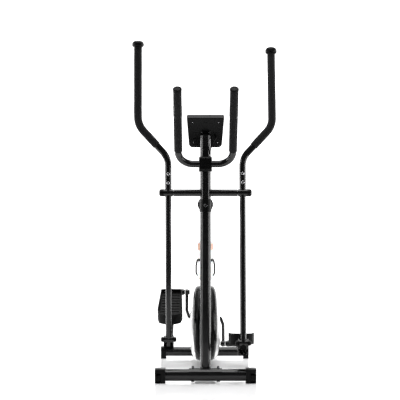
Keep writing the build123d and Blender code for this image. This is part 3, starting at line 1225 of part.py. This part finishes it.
def main():
    os.makedirs("parts", exist_ok=True)
    for name, shape in pieces().items():
        export_step(shape, f"parts/{name}.step")


if __name__ == "__main__":
    main()
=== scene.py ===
import bmesh
import bpy
import json
from math import cos, pi, radians, sin, sqrt
from mathutils import Matrix, Vector

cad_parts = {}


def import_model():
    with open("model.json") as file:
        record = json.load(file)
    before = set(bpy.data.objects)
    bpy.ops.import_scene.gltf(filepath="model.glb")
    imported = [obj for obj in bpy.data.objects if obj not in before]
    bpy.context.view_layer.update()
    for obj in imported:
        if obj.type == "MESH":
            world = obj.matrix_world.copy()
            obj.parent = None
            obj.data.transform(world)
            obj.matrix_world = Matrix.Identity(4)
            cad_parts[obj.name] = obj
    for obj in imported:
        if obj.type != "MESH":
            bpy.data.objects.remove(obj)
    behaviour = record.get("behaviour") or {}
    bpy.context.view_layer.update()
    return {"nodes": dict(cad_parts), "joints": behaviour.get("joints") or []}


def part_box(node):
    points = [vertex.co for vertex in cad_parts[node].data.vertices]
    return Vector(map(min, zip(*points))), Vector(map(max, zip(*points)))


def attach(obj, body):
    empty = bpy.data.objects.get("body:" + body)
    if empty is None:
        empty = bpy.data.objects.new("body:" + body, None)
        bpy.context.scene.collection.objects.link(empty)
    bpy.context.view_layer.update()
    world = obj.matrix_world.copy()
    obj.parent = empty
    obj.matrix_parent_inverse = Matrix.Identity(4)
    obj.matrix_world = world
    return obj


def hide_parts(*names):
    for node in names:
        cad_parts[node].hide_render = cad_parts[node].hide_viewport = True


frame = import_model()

NODES = frame["nodes"]
JOINTS = {joint["name"]: joint for joint in frame["joints"]}
SIDES = ("right", "left")
WAY_OF = {"right": -1, "left": 1}

# ---------------------------------------------------------------- camera
CAMERA_AT = (-0.026, -5.267, 0.786)
CAMERA_TURN = (radians(90.53), 0.0, radians(-0.01))
LENS_MM, SENSOR_MM = 98.2, 36.0

# ---------------------------------------------------------------- studio sizes
FLOOR_RADIUS = 1.7
LIGHTS_AIM = (0.0, 0.0, 0.75)
LIGHTS_OUT = 2.6
OVERHEAD_STRENGTH = 2.4
OVERHEAD_SPREAD = radians(70)
OVERHEAD_TILT = radians(-12)

# the console's own axes: out of its screen, up its panel and across it
CONSOLE_TILT = radians(34)
CONSOLE_OUT = Vector((0, cos(CONSOLE_TILT), sin(CONSOLE_TILT)))
CONSOLE_RISE = Vector((0, -sin(CONSOLE_TILT), cos(CONSOLE_TILT)))
CONSOLE_ACROSS = Vector((-1, 0, 0))

# the object's own details, in metres
CROSS_TUBE_R = 0.016
CROSS_BEAD_R = 0.0019
FOOT_BEAD_R = 0.0022
FOOT_BEAD_RISE = 0.0006
FOAM_VOXEL = 0.0013
FOAM_SWELL = 0.0012
SCREW_FACE = 0.0120     # the console's back, behind its middle
SCREW_POCKET = 0.0022
WINDOW_FACE = 0.0031    # the display's window, in front of its middle
INK_HIGH = 0.0002
DIGIT_PITCH = 0.02
KNOB_FACE = 0.0052      # the knob's face, under its top
TICK_AT = 0.0285
TICK_LONG, TICK_WIDE, TICK_HIGH = 0.0044, 0.0014, 0.0005

# ---------------------------------------------------------------- materials


class Finish:
    """A Principled material with a few helpers for its node tree."""

    def __init__(self, name, colour, roughness, metallic=0.0):
        self.material = bpy.data.materials.new(name)
        self.material.use_nodes = True
        tree = self.material.node_tree
        self.nodes, self.links = tree.nodes, tree.links
        self.shader = self.nodes["Principled BSDF"]
        self.shader.inputs["Base Color"].default_value = (*colour, 1.0)
        self.shader.inputs["Roughness"].default_value = roughness
        self.shader.inputs["Metallic"].default_value = metallic
        self.place = self.nodes.new("ShaderNodeTexCoord").outputs["Object"]

    def noise(self, scale, detail=3.0, stretch=None):
        node = self.nodes.new("ShaderNodeTexNoise")
        node.inputs["Scale"].default_value = scale
        node.inputs["Detail"].default_value = detail
        source = self.place
        if stretch:
            mapping = self.nodes.new("ShaderNodeMapping")
            mapping.inputs["Scale"].default_value = stretch
            self.links.new(source, mapping.inputs["Vector"])
            source = mapping.outputs["Vector"]
        self.links.new(source, node.inputs["Vector"])
        return node.outputs["Fac"]

    def cells(self, scale):
        node = self.nodes.new("ShaderNodeTexVoronoi")
        node.inputs["Scale"].default_value = scale
        self.links.new(self.place, node.inputs["Vector"])
        return node.outputs["Distance"]

    def ramp(self, source, stops):
        """Colours by value: stops are (position, colour)."""
        node = self.nodes.new("ShaderNodeValToRGB")
        ramp = node.color_ramp
        while len(ramp.elements) < len(stops):
            ramp.elements.new(0.5)
        for element, (position, colour) in zip(ramp.elements, stops):
            element.position = position
            element.color = (*colour, 1.0)
        self.links.new(source, node.inputs["Fac"])
        return node.outputs["Color"]

    def remap(self, source, low, high, from_low=0.0, from_high=1.0):
        node = self.nodes.new("ShaderNodeMapRange")
        node.inputs["From Min"].default_value = from_low
        node.inputs["From Max"].default_value = from_high
        node.inputs["To Min"].default_value = low
        node.inputs["To Max"].default_value = high
        self.links.new(source, node.inputs["Value"])
        return node.outputs["Result"]

    def height(self):
        """The height in the object's own coordinates."""
        node = self.nodes.new("ShaderNodeSeparateXYZ")
        self.links.new(self.place, node.inputs["Vector"])
        return node.outputs["Z"]

    def colour_from(self, output):
        self.links.new(output, self.shader.inputs["Base Color"])

    def rough_from(self, output):
        self.links.new(output, self.shader.inputs["Roughness"])

    def bump(self, *layers):
        """Stacks (height, strength, distance) layers into the normal."""
        previous = None
        for source, strength, distance in layers:
            node = self.nodes.new("ShaderNodeBump")
            node.inputs["Strength"].default_value = strength
            node.inputs["Distance"].default_value = distance
            self.links.new(source, node.inputs["Height"])
            if previous:
                self.links.new(previous, node.inputs["Normal"])
            previous = node.outputs["Normal"]
        self.links.new(previous, self.shader.inputs["Normal"])


def grey(value):
    return (value, value, value * 1.03)


def powder_coat():
    """Gloss black powder coat with a slight orange peel."""
    finish = Finish("powder_coat", grey(0.006), 0.2)
    finish.colour_from(finish.ramp(finish.noise(14.0, 4.0), [(0.3, grey(0.004)), (0.75, grey(0.009))]))
    finish.rough_from(finish.remap(finish.noise(22.0, 5.0), 0.16, 0.26))
    finish.bump((finish.noise(520.0, 2.0), 0.08, 0.0004), (finish.noise(9.0, 2.0), 0.02, 0.002))
    finish.shader.inputs["Specular IOR Level"].default_value = 0.26
    finish.shader.inputs["Coat Weight"].default_value = 0.22
    finish.shader.inputs["Coat Roughness"].default_value = 0.08
    return finish.material


def moulded(name, value, low, high, grain=900.0, strength=0.28, specular=0.3):
    """Moulded plastic with a spark-eroded grain."""
    finish = Finish(name, grey(value), (low + high) / 2)
    shades = [(0.3, grey(value * 0.8)), (0.8, grey(value * 1.3))]
    finish.colour_from(finish.ramp(finish.noise(30.0, 4.0), shades))
    finish.rough_from(finish.remap(finish.noise(45.0, 5.0), low, high))
    finish.bump((finish.cells(grain), strength, 0.0004),
                (finish.noise(grain * 2.2, 2.0), strength * 0.6, 0.0003))
    finish.shader.inputs["Specular IOR Level"].default_value = specular
    return finish.material


def foam():
    """Closed-cell foam sleeve: fine open pores with painted shade in their pits, and a dry, dull skin."""
    finish = Finish("grip_foam", grey(0.016), 0.86)
    pore_pits_and_shade = finish.cells(1300.0)
    # painted shade: the colour darkens where the pores' bump dips, in the pits
    finish.colour_from(finish.ramp(pore_pits_and_shade, [(0.05, grey(0.005)), (0.5, grey(0.016))]))
    finish.rough_from(finish.remap(finish.noise(60.0, 4.0), 0.72, 0.9))
    finish.bump((pore_pits_and_shade, 0.5, 0.0006), (finish.noise(140.0, 4.0), 0.25, 0.0012))
    finish.shader.inputs["Specular IOR Level"].default_value = 0.08
    return finish.material


def white_panel():
    """Gloss white moulding with faint tool marks."""
    finish = Finish("white_panel", (0.82, 0.82, 0.81), 0.2)
    shades = [(0.3, (0.78, 0.78, 0.775)), (0.7, (0.86, 0.86, 0.855))]
    finish.colour_from(finish.ramp(finish.noise(6.0, 3.0), shades))
    finish.rough_from(finish.remap(finish.noise(18.0, 4.0), 0.16, 0.28))
    finish.bump((finish.noise(300.0, 2.0), 0.05, 0.0005))
    finish.shader.inputs["Coat Weight"].default_value = 0.4
    finish.shader.inputs["Coat Roughness"].default_value = 0.05
    return finish.material


def metal(name, value, low, high, stretch):
    """Bright metal with turning or drawing marks along one direction."""
    finish = Finish(name, grey(value), (low + high) / 2, metallic=1.0)
    marks = finish.noise(60.0, 6.0, stretch)
    finish.colour_from(finish.ramp(marks, [(0.3, grey(value * 0.85)), (0.7, grey(value))]))
    finish.rough_from(finish.remap(marks, low, high))
    finish.bump((marks, 0.12, 0.0003))
    return finish.material


def bottle_plastic():
    """Milky squeeze bottle with a tinted band under its shoulder."""
    finish = Finish("bottle_plastic", (0.7, 0.7, 0.69), 0.3)
    low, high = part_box("bottle")
    share = finish.remap(finish.height(), 0.0, 1.0, low.z, high.z)
    milk, tint = (0.66, 0.66, 0.65), (0.42, 0.16, 0.06)
    bands = [(0.0, milk), (0.72, milk), (0.75, tint), (0.89, tint), (0.92, milk)]
    finish.colour_from(finish.ramp(share, bands))
    finish.rough_from(finish.remap(finish.noise(60.0, 4.0), 0.24, 0.4))
    finish.bump((finish.noise(35.0, 3.0), 0.12, 0.002), (finish.noise(500.0, 2.0), 0.08, 0.0004))
    finish.shader.inputs["Subsurface Weight"].default_value = 0.25
    finish.shader.inputs["Subsurface Scale"].default_value = 0.01
    return finish.material


def display_glass():
    """Reflective liquid-crystal window: grey-green with a faint dot raster."""
    finish = Finish("display_glass", (0.3, 0.36, 0.3), 0.08)
    raster = finish.cells(1600.0)
    finish.colour_from(finish.ramp(raster, [(0.2, (0.30, 0.36, 0.29)), (0.7, (0.34, 0.40, 0.33))]))
    finish.rough_from(finish.remap(finish.noise(40.0), 0.05, 0.12))
    finish.bump((raster, 0.02, 0.0001))
    finish.shader.inputs["Coat Weight"].default_value = 0.6
    return finish.material


def studio_white():
    """Glossy white acrylic floor."""
    finish = Finish("studio_floor", (0.93, 0.93, 0.935), 0.08)
    finish.rough_from(finish.remap(finish.noise(3.0), 0.06, 0.12))
    finish.shader.inputs["Specular IOR Level"].default_value = 0.8
    return finish.material


PAINT = powder_coat()
PLASTIC = moulded("black_plastic", 0.004, 0.3, 0.42, strength=0.12, specular=0.1)
CASING = moulded("casing_plastic", 0.003, 0.22, 0.32, grain=700.0, strength=0.05, specular=0.06)
TREAD = moulded("tread_plastic", 0.004, 0.4, 0.55, grain=500.0, strength=0.3, specular=0.08)
RUBBER = moulded("black_rubber", 0.004, 0.5, 0.7, grain=1100.0, strength=0.25, specular=0.08)
FOAM = foam()
WHITE = white_panel()
ZINC = metal("zinc_plate", 0.62, 0.2, 0.36, (1.0, 9.0, 9.0))
DARK_ZINC = metal("black_zinc", 0.10, 0.24, 0.4, (9.0, 9.0, 1.0))
IRON = metal("machined_iron", 0.32, 0.3, 0.5, (1.0, 14.0, 14.0))
BOTTLE = bottle_plastic()
DISPLAY = display_glass()
INK = moulded("display_ink", 0.01, 0.3, 0.4)
MARK = moulded("printed_mark", 0.55, 0.4, 0.5)

MATERIAL_OF = {
    "front_end_caps": PLASTIC, "rear_end_caps": PLASTIC, "console_back": PLASTIC, "console_lid": PLASTIC,
    "console_board": TREAD, "console_screen": DISPLAY, "mode_button": MARK, "sensor_lead": RUBBER,
    "tension_housing": PLASTIC, "tension_knob": PLASTIC, "tension_cable": RUBBER, "post_collar": PLASTIC,
    "handlebar_clamp": PLASTIC, "pulse_sensors": PLASTIC, "end_plugs": RUBBER, "bottle": BOTTLE,
    "bottle_cap": INK, "bottle_cage": PLASTIC, "drive_belt": RUBBER, "drive_pulley": PLASTIC,
    "flywheel": IRON, "flywheel_pulley": ZINC, "flywheel_axle": ZINC, "crank_bearings": ZINC,
    "magnet_carrier": ZINC, "frame_bolts": DARK_ZINC, "housing_screws": DARK_ZINC, "pivot_axle": ZINC,
}
for side in SIDES:
    MATERIAL_OF[f"casing_{side}"] = CASING
    MATERIAL_OF[f"side_panel_{side}"] = WHITE
    MATERIAL_OF[f"pedal_{side}"] = TREAD
    MATERIAL_OF[f"arm_caps_{side}"] = PLASTIC
    MATERIAL_OF[f"arm_fittings_{side}"] = PLASTIC
    MATERIAL_OF[f"bar_fittings_{side}"] = PLASTIC
    MATERIAL_OF[f"transport_wheel_{side}"] = RUBBER


def dress(node, material):
    """Gives a CAD node its finish and smooth shading across its round faces."""
    mesh = node.data
    mesh.materials.clear()
    mesh.materials.append(material)
    for face in mesh.polygons:
        face.use_smooth = True
        face.material_index = 0
    mesh.set_sharp_from_angle(angle=radians(32))


def bright_bolts(side):
    """The handle's two bolts are zinc plated; the bushes in the same node stay black."""
    mesh = NODES[f"arm_fittings_{side}"].data
    mesh.materials.append(ZINC)
    above = Vector(JOINTS[f"arm_swing_{side}"]["pos_m"]).z + 0.03
    for face in mesh.polygons:
        if face.center.z > above:
            face.material_index = 1


for name, node in NODES.items():
    dress(node, MATERIAL_OF.get(name, PAINT))
for side in SIDES:
    bright_bolts(side)

# ---------------------------------------------------------------- building blocks


def turns(count):
    """Equal steps once round a circle."""
    return [2 * pi * k / count for k in range(count)]


def piece(name, mesh, material, body, smooth=True):
    """Links a finished mesh as a piece that rides on a body."""
    made = bpy.data.objects.new(name, mesh)
    bpy.context.scene.collection.objects.link(made)
    mesh.materials.append(material)
    if smooth:
        for face in mesh.polygons:
            face.use_smooth = True
        mesh.set_sharp_from_angle(angle=radians(35))
    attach(made, body)
    return made


def bead(name, loop, radius, body, up=Vector((0, 0, 1)), ripple=0.18):
    """Weld bead: a rippled round section along a closed loop of points."""
    mesh = bpy.data.meshes.new(name)
    build = bmesh.new()
    count, around = len(loop), 8
    rings = []
    for i, point in enumerate(loop):
        along = (loop[(i + 1) % count] - loop[i - 1]).normalized()
        parallel = abs(along.dot(up)) >= 0.98
        side = (along.orthogonal() if parallel else along.cross(up)).normalized()
        rise = side.cross(along).normalized()
        size = radius * (1.0 + ripple * sin(i * 2.1))
        rings.append([build.verts.new(point + size * (cos(a) * side + sin(a) * rise))
                      for a in turns(around)])
    for i in range(count):
        a, b = rings[i], rings[(i + 1) % count]
        for k in range(around):
            build.faces.new((a[k], a[(k + 1) % around], b[(k + 1) % around], b[k]))
    bmesh.ops.recalc_face_normals(build, faces=build.faces)
    build.to_mesh(mesh)
    build.free()
    return piece(name, mesh, PAINT, body)


def lathe(profile, at, axis, steps=40):
    """Closed mesh of a profile of (radius, height) turned about an axis through at."""
    turn = Vector((0, 0, 1)).rotation_difference(Vector(axis)).to_matrix().to_4x4()
    place = Matrix.Translation(at) @ turn
    build = bmesh.new()
    rings = []
    for radius, height in profile:
        if radius < 1e-6:
            rings.append([build.verts.new(place @ Vector((0, 0, height)))])
            continue
        rings.append([build.verts.new(place @ Vector((radius * cos(a), radius * sin(a), height)))
                      for a in turns(steps)])
    for low, high in zip(rings, rings[1:]):
        for k in range(steps):
            n = (k + 1) % steps
            if len(low) == 1:
                build.faces.new((low[0], high[n], high[k]))
            elif len(high) == 1:
                build.faces.new((low[k], low[n], high[0]))
            else:
                build.faces.new((low[k], low[n], high[n], high[k]))
    bmesh.ops.remove_doubles(build, verts=build.verts, dist=1e-7)
    bmesh.ops.recalc_face_normals(build, faces=build.faces)
    return build


def foam_sleeve(name, node, body):
    """Foam grip in place of its CAD sleeve, with the soft, slightly uneven surface of foam."""
    mesh = NODES[node].data.copy()
    mesh.materials.clear()
    made = piece(name, mesh, FOAM, body)
    remesh = made.modifiers.new("remesh", "REMESH")
    remesh.mode = "VOXEL"
    remesh.voxel_size = FOAM_VOXEL
    remesh.use_smooth_shade = True
    smooth = made.modifiers.new("smooth", "SMOOTH")
    smooth.iterations = 6
    texture = bpy.data.textures.new(name + "_swell", "CLOUDS")
    texture.noise_scale = 0.03
    swell = made.modifiers.new("swell", "DISPLACE")
    swell.texture = texture
    swell.strength = FOAM_SWELL
    swell.mid_level = 0.45
    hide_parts(node)


# ---------------------------------------------------------------- the object's own details


def grips():
    for side in SIDES:
        foam_sleeve(f"handle_foam_{side}", f"handle_grip_{side}", f"arm_{side}")
    foam_sleeve("fixed_foam", "fixed_grips", "frame")


def welds():
    """Beads where the cross tube meets the post and where the post stands on the beam."""
    low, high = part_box("lower_post")
    centre, radius = (low + high) / 2, (high.x - low.x) / 2
    pivot = Vector(JOINTS["arm_swing_right"]["pos_m"])
    for side, way in WAY_OF.items():
        loop = []
        for a in turns(64):
            y, z = CROSS_TUBE_R * cos(a), CROSS_TUBE_R * sin(a)
            loop.append(Vector((way * sqrt(radius**2 - y * y), centre.y + y, pivot.z + z)))
        bead(f"cross_tube_weld_{side}", loop, CROSS_BEAD_R, "frame", up=Vector((1, 0, 0)))
    foot = [Vector((radius * cos(a), centre.y + radius * sin(a), low.z + FOOT_BEAD_RISE)) for a in turns(72)]
    bead("post_foot_weld", foot, FOOT_BEAD_R, "frame")


def lathed(name, profile, at, axis, material, body):
    """A turned piece: the profile goes once round the section and closes on itself or on the axis."""
    mesh = bpy.data.meshes.new(name)
    build = lathe(profile, at, axis)
    build.to_mesh(mesh)
    build.free()
    return piece(name, mesh, material, body)


def crank_dust_rings():
    """Rubber ring around the crank's hole in each side panel."""
    crank = Vector(JOINTS["crank_turn"]["pos_m"])
    inner, outer, low, high, round_off = 0.0208, 0.0268, 0.062, 0.0758, 0.0016
    profile = [(inner, low), (inner, high - round_off), (inner + round_off, high),
               (outer - round_off, high), (outer, high - round_off), (outer, low), (inner, low)]
    for side, way in WAY_OF.items():
        lathed(f"crank_dust_ring_{side}", profile, Vector((0, crank.y, crank.z)), (way, 0, 0), RUBBER, "frame")


def console_screws():
    """Dished screws in the four pockets of the console's back."""
    low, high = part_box("console_back")
    face = (low + high) / 2 - CONSOLE_OUT * SCREW_FACE
    profile = [(0.0, 0.0002), (0.0009, 0.0002), (0.0012, 0.0011), (0.0024, 0.0008), (0.0029, 0.0),
               (0.0029, -0.001), (0.0, -0.001)]
    for row, (wide, tall) in enumerate(((0.060, 0.053), (0.056, -0.053))):
        for way in (-1, 1):
            at = face + CONSOLE_ACROSS * way * wide + CONSOLE_RISE * tall + CONSOLE_OUT * SCREW_POCKET
            number = 2 * row + (way + 1) // 2 + 1
            lathed(f"console_screw_{number}", profile, at, -CONSOLE_OUT, ZINC, "frame")


def display_marks():
    """Generic segments on the display: a bar graph and a row of blank digits."""
    low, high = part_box("console_screen")
    out, rise, across = CONSOLE_OUT, CONSOLE_RISE, CONSOLE_ACROSS
    face = (low + high) / 2 + out * WINDOW_FACE
    build = bmesh.new()

    def bar(x, y, wide, tall):
        corners = [face + across * (x + sx * wide / 2) + rise * (y + sy * tall / 2)
                   for sx, sy in ((-1, -1), (1, -1), (1, 1), (-1, 1))]
        low_ring = [build.verts.new(c) for c in corners]
        high_ring = [build.verts.new(c + out * INK_HIGH) for c in corners]
        build.faces.new(high_ring)
        for k in range(4):
            build.faces.new((low_ring[k], low_ring[(k + 1) % 4], high_ring[(k + 1) % 4], high_ring[k]))

    for digit in range(4):
        x = (digit - 1.5) * DIGIT_PITCH
        for y in (0.0, 0.010, 0.020):
            bar(x, y - 0.002, 0.008, 0.0014)
        for y in (0.005, 0.015):
            bar(x - 0.0052, y - 0.002, 0.0014, 0.0076)
            bar(x + 0.0052, y - 0.002, 0.0014, 0.0076)
    for step in range(12):
        bar(-0.042 + step * 0.0076, -0.018, 0.0052, 0.003 + 0.0006 * step)
    mesh = bpy.data.meshes.new("display_segments")
    build.to_mesh(mesh)
    build.free()
    piece("display_segments", mesh, INK, "frame", smooth=False)


def knob_scale():
    """Raised tick marks around the tension knob's face."""
    low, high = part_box("tension_knob")
    centre = Vector(JOINTS["tension_turn"]["pos_m"])
    build = bmesh.new()
    face_y = high.y - KNOB_FACE
    for step in range(11):
        angle = radians(-60 + 30 * step)
        radial = Vector((cos(angle), 0, sin(angle)))
        along = Vector((-sin(angle), 0, cos(angle)))
        middle = Vector((centre.x, face_y, centre.z)) + radial * TICK_AT
        ring = [middle + radial * sr * TICK_LONG / 2 + along * sa * TICK_WIDE / 2
                for sr, sa in ((-1, -1), (1, -1), (1, 1), (-1, 1))]
        base = [build.verts.new(v) for v in ring]
        top = [build.verts.new(v + Vector((0, TICK_HIGH, 0))) for v in ring]
        build.faces.new(top)
        for k in range(4):
            build.faces.new((base[k], base[(k + 1) % 4], top[(k + 1) % 4], top[k]))
    mesh = bpy.data.meshes.new("knob_ticks")
    build.to_mesh(mesh)
    build.free()
    piece("knob_ticks", mesh, MARK, "knob", smooth=False)


grips()
welds()
crank_dust_rings()
console_screws()
display_marks()
knob_scale()

# ---------------------------------------------------------------- studio


def floor():
    """Round, glossy white floor around the object."""
    mesh = bpy.data.meshes.new("studio_floor")
    build = bmesh.new()
    bmesh.ops.create_circle(build, cap_ends=True, segments=96, radius=FLOOR_RADIUS)
    build.to_mesh(mesh)
    build.free()
    made = bpy.data.objects.new("studio_floor", mesh)
    bpy.context.scene.collection.objects.link(made)
    mesh.materials.append(studio_white())


def softbox(name, at, size, power):
    """Rectangular light aimed at the middle of the object, hidden from the camera."""
    data = bpy.data.lights.new(name, "AREA")
    data.shape = "RECTANGLE"
    data.size, data.size_y = size
    data.energy = power
    made = bpy.data.objects.new(name, data)
    bpy.context.scene.collection.objects.link(made)
    made.location = at
    made.visible_camera = False
    made.rotation_euler = (Vector(LIGHTS_AIM) - Vector(at)).to_track_quat("-Z", "Y").to_euler()


def overhead():
    """Wide soft light from above that whitens the floor."""
    data = bpy.data.lights.new("overhead", "SUN")
    data.energy = OVERHEAD_STRENGTH
    data.angle = OVERHEAD_SPREAD
    made = bpy.data.objects.new("overhead", data)
    made.rotation_euler = (OVERHEAD_TILT, 0.0, 0.0)
    bpy.context.scene.collection.objects.link(made)


def world():
    """White to the eye and behind the object; dark in front, so that black parts stay black."""
    made = bpy.data.worlds.new("studio")
    made.use_nodes = True
    nodes, links = made.node_tree.nodes, made.node_tree.links
    way = nodes.new("ShaderNodeSeparateXYZ")
    links.new(nodes.new("ShaderNodeTexCoord").outputs["Generated"], way.inputs["Vector"])
    fade = nodes.new("ShaderNodeMapRange")
    fade.interpolation_type = "SMOOTHSTEP"
    fade.inputs["From Min"].default_value, fade.inputs["From Max"].default_value = 0.82, 0.97
    fade.inputs["To Min"].default_value, fade.inputs["To Max"].default_value = 0.04, 1.9
    links.new(way.outputs["Y"], fade.inputs["Value"])
    strength = nodes.new("ShaderNodeMath")
    strength.operation = "MAXIMUM"
    links.new(nodes.new("ShaderNodeLightPath").outputs["Is Camera Ray"], strength.inputs[0])
    links.new(fade.outputs["Result"], strength.inputs[1])
    background = nodes["Background"]
    background.inputs["Color"].default_value = (1.0, 1.0, 1.0, 1.0)
    links.new(strength.outputs["Value"], background.inputs["Strength"])
    bpy.context.scene.world = made


def camera():
    data = bpy.data.cameras.new("camera")
    data.lens, data.sensor_width = LENS_MM, SENSOR_MM
    data.clip_end = 60.0
    made = bpy.data.objects.new("camera", data)
    made.location = CAMERA_AT
    made.rotation_euler = CAMERA_TURN
    bpy.context.scene.collection.objects.link(made)
    bpy.context.scene.camera = made


floor()
for way in WAY_OF.values():
    softbox("side_softbox", (way * LIGHTS_OUT, 0.9, 1.1), (1.0, 2.6), 90)
    softbox("front_softbox", (way * LIGHTS_OUT, -1.1, 1.2), (0.5, 2.4), 34)
softbox("top_softbox", (0.0, -0.6, 3.4), (2.0, 2.0), 45)
overhead()
world()
camera()
bpy.context.scene.view_settings.view_transform = "Standard"
